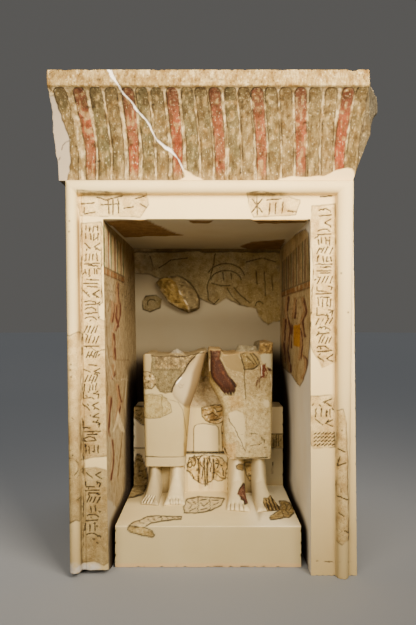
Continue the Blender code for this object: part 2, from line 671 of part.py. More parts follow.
def lower_middle():
    """Lower half of the block between the figures, with worn small legs in relief."""
    relief = ((0.0, 0.0), (0.056, 0.006), (0.153, 0.010), (0.236, 0.0), (0.306, 0.0), (0.361, 0.012),
              (0.431, 0.010), (0.458, -0.006), (0.514, -0.006), (0.556, 0.010), (0.625, 0.011),
              (0.694, 0.012), (0.778, 0.0), (0.875, 0.008), (1.0, 0.0))
    levels = ((LEG_FOOT, 0.0), (lerp(PLINTH_HEIGHT, STATUE_JOINT, 0.19), 0.25),
              (lerp(PLINTH_HEIGHT, STATUE_JOINT, 0.32), 1.0), (lerp(PLINTH_HEIGHT, STATUE_JOINT, 0.57), 1.0),
              (lerp(PLINTH_HEIGHT, STATUE_JOINT, 0.90), 1.0), (lerp(PLINTH_HEIGHT, STATUE_JOINT, 0.955), 0.0),
              (STATUE_JOINT, 0.0))

    def place(i, j, k):
        share, rise = relief[i]
        z, fade = levels[k]
        x = across(lerp(MIDDLE_EDGES[0], MIDDLE_EDGES[1], share))
        if j:
            return (x, MIDDLE_BACK_Y, z)
        return (x, MIDDLE_Y + MIDDLE_LOWER_STEP - rise * fade, z)
    return shell("lower_middle", (len(relief) - 1, 1, len(levels) - 1), place)


def hem_lap(share, depth):
    """Flat top of the strip of hem that belongs to the lower block."""
    return STATUE_JOINT


base = box("statue_base", (PLINTH_LEFT, PLINTH_FRONT_Y, 0.0), (PLINTH_RIGHT, PLINTH_BACK_Y, PLINTH_HEIGHT))
HEM_FOOT = STATUE_JOINT - HEM_DEPTH
SHADE_Y = BENCH_FRONT_Y - SHADE_REACH
LEFT_LEGS = ((0.1175, 0.2049), (0.2523, 0.3497))
RIGHT_LEGS = ((0.6284, 0.7286), (0.7760, 0.8634))
join(base,
     box("seat", (PLINTH_LEFT, BENCH_FRONT_Y, LEG_FOOT), (PLINTH_RIGHT, BENCH_BACK_Y, STATUE_JOINT)),
     skirt("hem", HEM_FOOT, left_sides, (OUTER_RADIUS, LEFT_INNER_RADIUS), LEFT_KNEE_Y, hem_lap, HEM_BOW),
     box("left_web", (across(0.131), SHADE_Y, LEG_FOOT),
         (across(0.341), BENCH_FRONT_Y + FOOT_EMBED, HEM_FOOT + FOOT_EMBED)),
     box("right_web", (across(0.641), SHADE_Y, LEG_FOOT),
         (across(0.851), BENCH_FRONT_Y + FOOT_EMBED, STATUE_JOINT)),
     lower_middle(),
     leg("leg_a", LEFT_LEGS[0], LEFT_KNEE_Y + LEG_SETBACK, HEM_FOOT + FOOT_EMBED),
     leg("leg_b", LEFT_LEGS[1], LEFT_KNEE_Y + LEG_SETBACK, HEM_FOOT + FOOT_EMBED),
     leg("leg_c", RIGHT_LEGS[0], RIGHT_KNEE_Y + LEG_SETBACK, STATUE_JOINT),
     leg("leg_d", RIGHT_LEGS[1], RIGHT_KNEE_Y + LEG_SETBACK, STATUE_JOINT),
     foot("foot_a", (0.0929, 0.2058), LEFT_LEGS[0],
          LEFT_KNEE_Y - LEFT_FOOT_REACH, LEFT_KNEE_Y + HEEL_SETBACK, False),
     foot("foot_b", (0.2304, 0.3616), LEFT_LEGS[1],
          LEFT_KNEE_Y - LEFT_FOOT_REACH, LEFT_KNEE_Y + HEEL_SETBACK, True),
     foot("foot_c", (0.6020, 0.7459), RIGHT_LEGS[0],
          RIGHT_KNEE_Y - RIGHT_FOOT_REACH, RIGHT_KNEE_Y + HEEL_SETBACK, False),
     foot("foot_d", (0.7778, 0.9271), RIGHT_LEGS[1],
          RIGHT_KNEE_Y - RIGHT_FOOT_REACH, RIGHT_KNEE_Y + HEEL_SETBACK, True))
finish(base, (0.72, 0.60, 0.43, 1.0), 0.80)
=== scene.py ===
import math

import bmesh
import bpy
import numpy as np
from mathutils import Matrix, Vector


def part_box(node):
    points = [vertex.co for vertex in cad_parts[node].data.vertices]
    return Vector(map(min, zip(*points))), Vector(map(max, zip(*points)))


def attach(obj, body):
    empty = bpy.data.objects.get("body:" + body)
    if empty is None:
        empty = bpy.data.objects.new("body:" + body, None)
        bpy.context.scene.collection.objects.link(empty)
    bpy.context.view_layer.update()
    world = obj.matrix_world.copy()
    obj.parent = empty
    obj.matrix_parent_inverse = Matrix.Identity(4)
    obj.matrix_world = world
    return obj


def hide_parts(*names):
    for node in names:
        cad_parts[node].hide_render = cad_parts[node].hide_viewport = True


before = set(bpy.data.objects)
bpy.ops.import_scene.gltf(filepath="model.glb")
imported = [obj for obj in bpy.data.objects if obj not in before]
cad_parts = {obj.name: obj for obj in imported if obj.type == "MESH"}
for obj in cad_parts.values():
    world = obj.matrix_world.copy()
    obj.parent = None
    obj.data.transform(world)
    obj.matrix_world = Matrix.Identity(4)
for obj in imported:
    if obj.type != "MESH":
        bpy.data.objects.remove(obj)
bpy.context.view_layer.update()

# Studio: a pale matt floor and two warm soft lights, one close to the top of the door from the right and
# a weaker one from the left. The camera stands straight in front, level, at half the shrine's height.
EYE = (0.0, -2.4275, 0.7285)
PHOTO_WIDE, PHOTO_HIGH = 416, 625
FOCAL_PIXELS = 709.0
LEVEL_X, LEVEL_Y = 209.0, 320.0


def linear(code):
    """Linear red, green and blue of an sRGB hex colour."""
    parts = [int(code[place:place + 2], 16) / 255.0 for place in (1, 3, 5)]
    return np.array([part / 12.92 if part <= 0.04045 else ((part + 0.055) / 1.055) ** 2.4 for part in parts])


def add(tree, kind, sockets=(), **settings):
    """One node with its settings. Each of its sockets gets a value, or a link from a node or its output."""
    made = tree.nodes.new(kind)
    for name, value in settings.items():
        setattr(made, name, value)
    for place, source in dict(sockets).items():
        if isinstance(source, bpy.types.Node):
            source = source.outputs[0]
        if isinstance(source, bpy.types.NodeSocket):
            tree.links.new(source, made.inputs[place])
        else:
            made.inputs[place].default_value = source
    return made


def new_material(name):
    """Empty node material with its principled shader."""
    material = bpy.data.materials.new(name)
    material.use_nodes = True
    return material, material.node_tree, material.node_tree.nodes["Principled BSDF"]


def softbox(name, place, target, size, power, spread):
    """Square area light aimed at a point."""
    data = bpy.data.lights.new(name, "AREA")
    data.size = size
    data.energy = power
    data.spread = math.radians(spread)
    data.color = linear("#ffeed6")
    lamp = bpy.data.objects.new(name, data)
    lamp.location = place
    lamp.rotation_euler = (Vector(target) - Vector(place)).to_track_quat("-Z", "Y").to_euler()
    lamp.visible_camera = False
    bpy.context.scene.collection.objects.link(lamp)


lens = bpy.data.cameras.new("camera")
lens.sensor_width = 36.0
lens.lens = FOCAL_PIXELS / PHOTO_HIGH * lens.sensor_width
lens.shift_x = (PHOTO_WIDE / 2.0 - LEVEL_X) / PHOTO_HIGH
lens.shift_y = (LEVEL_Y - PHOTO_HIGH / 2.0) / PHOTO_HIGH
camera = bpy.data.objects.new("camera", lens)
camera.location = EYE
camera.rotation_euler = (math.radians(90.0), 0.0, 0.0)
bpy.context.scene.collection.objects.link(camera)
bpy.context.scene.camera = camera

softbox("key_light", (0.8, -1.9, 1.7), (0.0, -0.3, 1.2), 1.1, 37.0, 80.0)
softbox("fill_light", (-0.8, -2.75, 1.35), (0.0, 0.0, 0.75), 1.3, 18.5, 90.0)
overhead = bpy.data.objects.new("overhead_light", bpy.data.lights.new("overhead_light", "SUN"))
overhead.data.energy = 0.7
overhead.data.angle = math.radians(30.0)
overhead.rotation_euler = (math.radians(-12.0), 0.0, 0.0)
bpy.context.scene.collection.objects.link(overhead)
world = bpy.data.worlds.new("studio")
world.use_nodes = True
world.node_tree.nodes["Background"].inputs["Color"].default_value = (*linear("#e9e6e1"), 1.0)
world.node_tree.nodes["Background"].inputs["Strength"].default_value = 0.13
bpy.context.scene.world = world

paper, tree, shader = new_material("matt_floor_paper")
fibre = add(tree, "ShaderNodeTexNoise", {"Scale": 3.0, "Detail": 4.0})
tone = add(tree, "ShaderNodeMixRGB", {0: fibre, 1: (*linear("#8f9398"), 1.0), 2: (*linear("#95999e"), 1.0)})
tree.links.new(tone.outputs[0], shader.inputs["Base Color"])
shader.inputs["Roughness"].default_value = 0.9
floor_mesh = bmesh.new()
bmesh.ops.create_circle(floor_mesh, cap_ends=True, radius=40.0, segments=96)
floor_data = bpy.data.meshes.new("floor")
floor_mesh.to_mesh(floor_data)
floor_mesh.free()
floor_data.materials.append(paper)
floor = bpy.data.objects.new("floor", floor_data)
bpy.context.scene.collection.objects.link(floor)


# Cornice: one block of limestone, carved in a hollow moulding with painted upright leaves under a
# plain flat band. It is cracked through and mended with white plaster, and both ends are broken.
JOINT_GAP = 0.0003
CORNICE_LOW, CORNICE_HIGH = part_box("cornice")
REACH_FRONT = 0.12
REACH_SIDE = 0.106
FRONT_Y, BACK_Y = CORNICE_LOW[1], CORNICE_HIGH[1]
DOOR_Y = FRONT_Y + REACH_FRONT
CORNICE_LEFT = -0.41
CORNICE_RIGHT = 0.41
CAVETTO_FOOT = CORNICE_LOW[2]
CAVETTO_TOP = 1.3573
FILLET_TOP = CORNICE_HIGH[2]
FILLET_LIP = 0.006
SIDE_BULGE = 0.0075
LEFT_PATCH = 0.018
HOLLOW_LEAN = 0.45
HOLLOW_ARC = 0.98
LEAF_TOPS = (59.5, 78.5, 95.3, 110.5, 127.3, 141.2, 156.3, 171.5, 186.4, 200.6, 214.4, 230.0, 243.6,
             257.0, 270.9, 285.7, 300.7, 315.8, 331.6, 348.6, 362.4)
LEAF_FEET = (73.0, 91.0, 104.5, 118.6, 134.0, 148.6, 162.8, 177.8, 192.7, 207.0, 220.2, 234.6, 248.3,
             261.6, 274.6, 288.0, 300.9, 313.0, 326.6, 339.2, 352.6)
LEAF_HALF = 6.0
LEAF_RISE = 0.002
RIGHT_BREAK = (
    (0.092, -0.03), (0.087, 0.0), (0.069, 0.0675), (0.051, 0.1375), (0.032, 0.1825), (0.016, 0.2225),
    (-0.012, 0.3125), (-0.2, 0.3126))
LEFT_BREAK = (
    (0.08, -0.03), (0.083, 0.0575), (0.086, 0.1275), (0.085, 0.1875), (0.08, 0.2475), (0.069, 0.3025),
    (0.038, 0.4025), (-0.008, 0.5575), (-0.2, 0.5576))
CRACK = (
    (108.3, 66), (112, 76), (118.5, 85.5), (123, 93), (130.5, 100.5), (134, 105), (136.8, 110), (141.5, 115),
    (146.3, 120), (149.5, 125), (151.5, 130), (154.2, 135), (157, 140), (162.8, 145), (170, 150), (175, 155),
    (178.8, 160), (181.2, 165), (183.6, 170), (188, 175))
CRACK_WIDTH = (
    (66, 2.7), (74, 1.8), (82, 1.2), (90, 0.7), (104, 0.55), (109, 1.3), (114, 0.55), (124, 0.9), (134, 0.6),
    (145, 0.9), (149, 1.7), (158, 0.6), (168, 0.6), (174, 1.5))
LEFT_FILL = (
    (171, 183.5), (173.5, 181.3), (180.5, 179.5), (185.6, 177.3), (184, 172.5), (182.3, 168.4), (187, 170.6),
    (190.4, 172.6), (195, 175.6), (200.5, 178.6), (209, 181.4), (210, 183.5))
RIGHT_FILL = (
    (274, 183.5), (277.5, 180.4), (279.6, 178), (290, 176.6), (305, 176.4), (324, 176), (337, 169.6),
    (348, 167.2), (352, 168.2), (356, 176), (357, 183.5))
LEFT_NICK = (((61.5, 150), (62.6, 145.6), (65.6, 142.4), (69, 141)), ((58.8, 160), (60, 157.4)))
LEFT_PLASTER = (
    (40, 98), (53.5, 95), (59, 109), (66, 129), (69.5, 140), (71, 158), (69.5, 171), (66, 184), (40, 184))


def ramp(value, low, high):
    """Smooth rise from 0 at low to 1 at high."""
    part = np.clip((value - low) / (high - low), 0.0, 1.0)
    return part * part * (3.0 - 2.0 * part)


def fall(value, low, high):
    """Smooth fall from 1 at low to 0 at high."""
    return ramp(-value, -high, -low)


def grain(points, size, seed):
    """Repeatable unevenness from about -1 to 1, with lumps of that size in metres."""
    cell = points / size
    base = np.floor(cell).astype(np.int64)
    part = cell - base
    part = part * part * (3.0 - 2.0 * part)
    total = np.zeros(len(points))
    for corner in np.ndindex(2, 2, 2):
        key = base + corner
        mixed = (key[:, 0] * 73856093) ^ (key[:, 1] * 19349663) ^ (key[:, 2] * 83492791) ^ (seed * 40503)
        mixed = ((mixed ^ (mixed >> 13)) & 0xFFFFFFF) * 1274126177
        value = ((mixed >> 16) & 0xFFFF) / 32767.5 - 1.0
        total += value * np.prod(np.where(corner, part, 1.0 - part), axis=1)
    return total


def rugged(points, size, seed):
    """Three sizes of unevenness added up."""
    return (grain(points, size, seed) + 0.5 * grain(points, size / 2.3, seed + 1)
            + 0.3 * grain(points, size / 5.1, seed + 2)) / 1.4


def flecks(points, size, seed, low, high):
    """Where unevenness of one size rises from low to high."""
    return ramp(grain(points, size, seed), low, high)


def patches(points, size, seed, low, high):
    """Where unevenness of three sizes rises from low to high."""
    return ramp(rugged(points, size, seed), low, high)


def bell(value, width):
    """Smooth hump, 1 where the value is 0."""
    return np.exp(-(value / width) ** 2)


def seen(points):
    """Where points show in the photograph, in its pixels across and down."""
    away = points[:, 1] - EYE[1]
    return (LEVEL_X + FOCAL_PIXELS * points[:, 0] / away,
            LEVEL_Y - FOCAL_PIXELS * (points[:, 2] - EYE[2]) / away)


def distance_to(across, down, path):
    """Distance from a bent line."""
    best = np.full(len(across), 1e9)
    for (x0, y0), (x1, y1) in zip(path, path[1:]):
        dx, dy = x1 - x0, y1 - y0
        part = np.clip(((across - x0) * dx + (down - y0) * dy) / (dx * dx + dy * dy), 0.0, 1.0)
        best = np.minimum(best, np.hypot(across - x0 - part * dx, down - y0 - part * dy))
    return best


def within(across, down, outline):
    """Distance inside a closed outline, negative outside it."""
    closed = [*outline, outline[0]]
    inside = np.zeros(len(across), bool)
    for (x0, y0), (x1, y1) in zip(closed, closed[1:]):
        if y0 != y1:
            inside ^= ((y0 > down) != (y1 > down)) & (across < (x1 - x0) * (down - y0) / (y1 - y0) + x0)
    return np.where(inside, 1.0, -1.0) * distance_to(across, down, closed)


STROKE_EDGE, STROKE_MARGIN = 0.35, 2.0   # soft edge of a stroke and the strip searched round it, in pixels


def cover(across, down, marks, half):
    """How much of each corner lies under thin strokes of that half width."""
    total = np.zeros(len(across))
    for mark in marks:
        xs, ys = zip(*mark)
        near = ((across > min(xs) - STROKE_MARGIN) & (across < max(xs) + STROKE_MARGIN)
                & (down > min(ys) - STROKE_MARGIN) & (down < max(ys) + STROKE_MARGIN))
        if near.any():
            gap = distance_to(across[near], down[near], mark)
            total[near] = np.maximum(total[near], ramp(half - gap, -STROKE_EDGE, STROKE_EDGE))
    return total


def coarse(back, side=(1, 1), foot=(1, 1), top=(1, 1)):
    """How many cells of a skin go into one face on the sides that hardly show."""
    return {"back": back, "left": side, "right": side, "foot": foot, "top": top}


def skin(us, ds, rows, place, steps):
    """Closed skin over a box-shaped lattice, us across, ds from front to back and rows up. Sides in steps
    have larger faces; every corner on the border of a side is kept."""
    index = np.full((len(us), len(ds), len(rows)), -1)
    shell = np.ones(index.shape, bool)
    shell[1:-1, 1:-1, 1:-1] = False
    i, j, k = np.nonzero(shell)
    index[shell] = np.arange(len(i))
    points = place(np.asarray(us)[i], np.asarray(ds)[j], np.asarray(rows)[k], (i, j, k))
    sides = (("front", index[:, 0, :], False), ("back", index[:, -1, :], True),
             ("left", index[0], True), ("right", index[-1], False),
             ("foot", index[:, :, 0], True), ("top", index[:, :, -1], False))
    faces = []
    for name, lattice, turned in sides:
        step_a, step_b = steps.get(name, (1, 1))
        if (step_a, step_b) == (1, 1):
            quads = np.stack((lattice[:-1, :-1], lattice[1:, :-1], lattice[1:, 1:], lattice[:-1, 1:]), -1)
            quads = quads.reshape(-1, 4)
            faces.extend((quads[:, ::-1] if turned else quads).tolist())
            continue
        last_a, last_b = lattice.shape[0] - 1, lattice.shape[1] - 1
        stops_a = [*range(0, last_a, step_a), last_a]
        stops_b = [*range(0, last_b, step_b), last_b]
        for a, a_next in zip(stops_a, stops_a[1:]):
            for b, b_next in zip(stops_b, stops_b[1:]):
                loop = [(n, b) for n in (range(a, a_next) if b == 0 else (a,))]
                loop += [(a_next, n) for n in (range(b, b_next) if a_next == last_a else (b,))]
                loop += [(n, b_next) for n in (range(a_next, a, -1) if b_next == last_b else (a_next,))]
                loop += [(a, n) for n in (range(b_next, b, -1) if a == 0 else (b_next,))]
                ring = [int(lattice[spot]) for spot in loop]
                faces.append(ring[::-1] if turned else ring)
    return points, faces, (i, j, k)


def shade(paint, colour, weight):
    """Lay a colour over the paint with a weight for each corner."""
    paint += (linear(colour) - paint) * np.clip(weight, 0.0, 1.0)[:, None]


def mottle(paint, points, where, *coats):
    """Uneven coats. Each is a colour, the size and seed of its patches, where they rise, and an amount."""
    for colour, size, seed, low, high, amount in coats:
        shade(paint, colour, where * patches(points, size, seed, low, high) * amount)


def blank(points, colour, plaster, pitted):
    """Where corners show in the photograph, then one paint and finish for all, no dirt or painted shade and
    no relief.
    """
    count = len(points)
    return (*seen(points), np.tile(linear(colour), (count, 1)), np.full(count, plaster),
            np.full(count, pitted), np.zeros(count), np.zeros(count))


def finish_of(plaster, pitted, dirt):
    """Plaster, pitting, and dirt with painted shade of each corner in one table."""
    return np.stack((plaster, pitted, np.clip(dirt, 0.0, 1.0)), 1)


# corners joined, edges dissolved and the largest face that is shaded smooth, in metres
SAME_PLACE, TINY_EDGE = 0.00002, 0.00001
FINE_FACE = 0.00018
WORN_ANGLE, SHARP_ANGLE = math.radians(40.0), math.radians(50.0)


def soften(mesh, angle, rounds):
    """Wear down the arrises: corners on sharp edges move towards their neighbours."""
    count = len(mesh.vertices)
    place = np.empty(count * 3, np.float32)
    mesh.vertices.foreach_get("co", place)
    place = place.reshape(-1, 3)
    ends = np.empty(len(mesh.edges) * 2, np.int32)
    mesh.edges.foreach_get("vertices", ends)
    ends = ends.reshape(-1, 2)
    normal = np.empty(len(mesh.polygons) * 3, np.float32)
    mesh.polygons.foreach_get("normal", normal)
    total = np.empty(len(mesh.polygons), np.int32)
    mesh.polygons.foreach_get("loop_total", total)
    loop_edge = np.empty(len(mesh.loops), np.int32)
    mesh.loops.foreach_get("edge_index", loop_edge)
    both = np.zeros((len(mesh.edges), 3))
    np.add.at(both, loop_edge, np.repeat(normal.reshape(-1, 3), total, axis=0))
    sharp = (both ** 2).sum(1) < 2.0 + 2.0 * math.cos(angle)
    wear = np.empty(count, np.float32)
    mesh.attributes["wear"].data.foreach_get("value", wear)
    worn = np.zeros(count, bool)
    worn[ends[sharp].ravel()] = True
    worn &= wear > 0.5
    for _ in range(rounds):
        joined = np.zeros((count, 3))
        number = np.zeros(count)
        for a, b in ((0, 1), (1, 0)):
            np.add.at(joined, ends[:, a], place[ends[:, b]])
            np.add.at(number, ends[:, a], 1.0)
        middle = joined / np.maximum(number, 1.0)[:, None]
        place[worn] += 0.5 * (middle[worn] - place[worn])
    mesh.vertices.foreach_set("co", place.ravel())


def carve(name, parts, material, node):
    """Mesh piece from closed skins. Each part is (points, faces, paint, finish, wear): paint is a colour,
    finish is how much is plaster, pitted, and dirt with painted shade in each corner, and wear is 1 where
    arrises are worn."""
    points = np.concatenate([part[0] for part in parts])
    faces = []
    start = 0
    for part in parts:
        faces.extend([[corner + start for corner in face] for face in part[1]])
        start += len(part[0])
    low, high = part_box(node)
    points = np.clip(points, np.array(low), np.array(high))
    mesh = bpy.data.meshes.new(name)
    mesh.from_pydata(points.tolist(), [], faces)
    for label, place in (("paint", 2), ("finish", 3)):
        layer = mesh.attributes.new(label, "FLOAT_COLOR", "POINT")
        colours = np.ones((len(points), 4), np.float32)
        colours[:, :3] = np.concatenate([part[place] for part in parts])
        layer.data.foreach_set("color", colours.ravel())
    wear = mesh.attributes.new("wear", "FLOAT", "POINT")
    wear.data.foreach_set("value", np.concatenate([part[4] for part in parts]).astype(np.float32))
    work = bmesh.new()
    work.from_mesh(mesh)
    bmesh.ops.remove_doubles(work, verts=work.verts, dist=SAME_PLACE)
    bmesh.ops.dissolve_degenerate(work, edges=work.edges, dist=TINY_EDGE)
    loose = [corner for corner in work.verts if not corner.link_faces]
    bmesh.ops.delete(work, geom=loose, context="VERTS")
    work.to_mesh(mesh)
    work.free()
    soften(mesh, WORN_ANGLE, 2)
    area = np.empty(len(mesh.polygons), np.float32)
    mesh.polygons.foreach_get("area", area)
    mesh.polygons.foreach_set("use_smooth", area < FINE_FACE)
    mesh.set_sharp_from_angle(angle=SHARP_ANGLE)
    mesh.materials.append(material)
    piece = bpy.data.objects.new(name, mesh)
    bpy.context.scene.collection.objects.link(piece)
    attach(piece, "root")
    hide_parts(node)
    return piece


def limestone(name, blotch, speck, bump, clouds=0.03, brushed=1.0):
    """Weathered limestone with plaster repairs. The eye sees soft brown clouds a few centimetres wide, dark
    pits and pale crystals of 2 to 4 mm in the stone, and an almost even matt skin on the plaster."""
    material, tree, shader = new_material(name)

    def noise(size, detail, place, roughness=0.5):
        """Unevenness with lumps of a size in metres."""
        return add(tree, "ShaderNodeTexNoise", {"Vector": place, "Scale": 1.0 / size, "Detail": detail,
                                                "Roughness": roughness})

    def spread(source, low, high, start, end):
        """Value that goes from start to end while the source goes from low to high."""
        return add(tree, "ShaderNodeMapRange", {0: source, 1: low, 2: high, 3: start, 4: end})

    def times(one, other):
        """Product of two values."""
        return add(tree, "ShaderNodeMath", {0: one, 1: other}, operation="MULTIPLY")

    def tint(amount, below, colour, kind="MULTIPLY"):
        """Colour laid over what is below it."""
        return add(tree, "ShaderNodeMixRGB", {0: amount, 1: below, 2: (*linear(colour), 1.0)},
                   blend_type=kind)

    spot = add(tree, "ShaderNodeTexCoord").outputs["Object"]
    drawn = add(tree, "ShaderNodeMapping", {"Vector": spot, "Scale": (1.0, 1.0, brushed)},
                vector_type="POINT")
    paint = add(tree, "ShaderNodeAttribute", attribute_name="paint").outputs["Color"]
    finish = add(tree, "ShaderNodeAttribute", attribute_name="finish").outputs["Color"]
    plaster, pitted, dirt = add(tree, "ShaderNodeSeparateColor", {0: finish}).outputs
    stone = add(tree, "ShaderNodeMath", {0: 1.0, 1: plaster}, operation="SUBTRACT")
    cloud = noise(clouds, 6.0, drawn, 0.66)
    fine = noise(0.0042, 3.0, drawn, 0.7)
    wide = noise(0.16, 3.0, spot)
    # brown clouds, pale crystals, dark pits, grit, a wide warm wash, and a dark mix for dirt in what is cut
    # and for painted shade in creases and under edges
    clouded = times(spread(cloud, 0.42, 0.64, 0.0, blotch), stone)
    colour = tint(clouded, paint, "#b39c6a")
    paled = times(spread(fine, 0.58, 0.72, 0.0, speck), stone)
    paled = times(paled, spread(cloud, 0.6, 0.44, 0.25, 1.0))
    colour = tint(paled, colour, "#f0dcae", "MIX")
    colour = tint(times(spread(fine, 0.39, 0.31, 0.0, 0.95), pitted), colour, "#4a371c")
    grit = spread(noise(0.0019, 2.0, spot), 0.36, 0.62, 0.72, 1.12)
    colour = add(tree, "ShaderNodeMixRGB", {0: times(stone, 0.6), 1: colour, 2: grit}, blend_type="MULTIPLY")
    colour = tint(spread(wide, 0.35, 0.7, 0.0, 0.22), colour, "#d9c39c")
    colour = tint(times(spread(fine, 0.3, 0.58, 0.6, 1.0), dirt), colour, "#1d1206", "MIX")
    tree.links.new(colour.outputs[0], shader.inputs["Base Color"])
    deep = times(spread(fine, 0.3, 0.5, -0.0009, 0.0), pitted)
    lumps = times(times(cloud, 0.0011), stone)
    trowel = add(tree, "ShaderNodeMath", {0: wide, 1: 0.0005, 2: lumps}, operation="MULTIPLY_ADD")
    height = add(tree, "ShaderNodeMath", {0: trowel, 1: deep}, operation="ADD")
    relief = add(tree, "ShaderNodeBump", {"Strength": bump, "Distance": 1.0, "Height": height})
    tree.links.new(relief.outputs[0], shader.inputs["Normal"])
    tree.links.new(spread(plaster, 0.0, 1.0, 0.92, 0.72).outputs[0], shader.inputs["Roughness"])
    shader.inputs["Specular IOR Level"].default_value = 0.3
    return material


def hollow(share):
    """Outward reach, 0 to 1, of the hollow moulding at a share of its height."""
    arc = 1.0 - np.sqrt(1.0 - (HOLLOW_ARC * share) ** 2)
    return HOLLOW_LEAN * share + (1.0 - HOLLOW_LEAN) * arc / (1.0 - math.sqrt(1.0 - HOLLOW_ARC ** 2))


def rows_along(share, spacing):
    """Shares of the hollow's height at even steps along its curve."""
    high = CAVETTO_TOP - CAVETTO_FOOT
    length = np.concatenate(([0.0], np.cumsum(np.hypot(np.diff(share) * high,
                                                       np.diff(hollow(share)) * REACH_FRONT))))
    return np.interp(np.linspace(0.0, length[-1], int(length[-1] / spacing)), length, share)


hollow_shares = rows_along(np.linspace(0.0, 1.0, 800), 0.0024)
fillet_steps = np.linspace(0.0, 1.0, 20)
cornice_share = np.concatenate((hollow_shares, np.ones(len(fillet_steps))))
cornice_z = np.concatenate((CAVETTO_FOOT + hollow_shares * (CAVETTO_TOP - 0.0015 - CAVETTO_FOOT),
                            CAVETTO_TOP + fillet_steps * (FILLET_TOP - CAVETTO_TOP)))
cornice_lip = np.concatenate((np.zeros(len(hollow_shares)), np.full(len(fillet_steps), FILLET_LIP)))


def leaf_pattern(points, share):
    """Leaf number, place within the leaf from -1 to 1, and how far inside its rounded tip, in pixels."""
    across, down = seen(points)
    across = across + 0.35 * grain(points, 0.03, 5) + 0.3 * grain(points, 0.007, 6)
    rising = np.clip((155.0 - down) / 65.0, 0.0, 1.0) ** 1.3
    feet = np.array(LEAF_FEET)
    centres = feet + (np.array(LEAF_TOPS) - feet) * rising[:, None]
    number = np.abs(across[:, None] - centres).argmin(1)
    offset = across - centres[np.arange(len(number)), number]
    half = LEAF_HALF - (0.5 + 1.0 * (number % 3 == 1)) * (1.0 - share)
    lift = down - (86.8 + 0.5 * np.sin(2.1 * number) + half)
    inside = np.where(lift < 0.0, half - np.hypot(offset, lift), half - np.abs(offset))
    return number, offset / half, inside


def cornice_place(u, d, row, _):
    """Corners of the cornice skin, with its broken ends."""
    row = row.astype(int)
    share, z, lip = cornice_share[row], cornice_z[row].copy(), cornice_lip[row]
    side = (REACH_SIDE - FILLET_LIP) * hollow(share) + lip + SIDE_BULGE * np.sin(np.pi * share)
    left = CORNICE_LEFT - np.maximum(side, LEFT_PATCH)
    right = CORNICE_RIGHT + side
    front = DOOR_Y - (REACH_FRONT - FILLET_LIP) * hollow(share) - lip
    points = np.stack((left + (right - left) * u, front + (BACK_Y - front) * d, z), 1)
    for path, corner, way, seed in ((RIGHT_BREAK, CORNICE_RIGHT + REACH_SIDE, 1.0, 11),
                                    (LEFT_BREAK, CORNICE_LEFT - REACH_SIDE, -1.0, 23)):
        inset = np.interp(points[:, 1] - FRONT_Y, [stop[1] for stop in path], [stop[0] for stop in path])
        flat = np.stack((np.zeros(len(z)), points[:, 1], z), 1)
        edge = corner - way * (inset + 0.0032 * rugged(flat, 0.045, seed) + 0.0012
                               * grain(flat, 0.008, seed + 5))
        cut = way * (points[:, 0] - edge) > 0.0
        points[cut, 0] = edge[cut]
    rim = ramp(points[:, 2], FILLET_TOP - 0.007, FILLET_TOP) * (np.minimum(1.0 - d, d) < 0.03)
    points[:, 2] -= rim * (0.0012 + 0.0045 * patches(points, 0.035, 31, 0.25, 0.9))
    return points


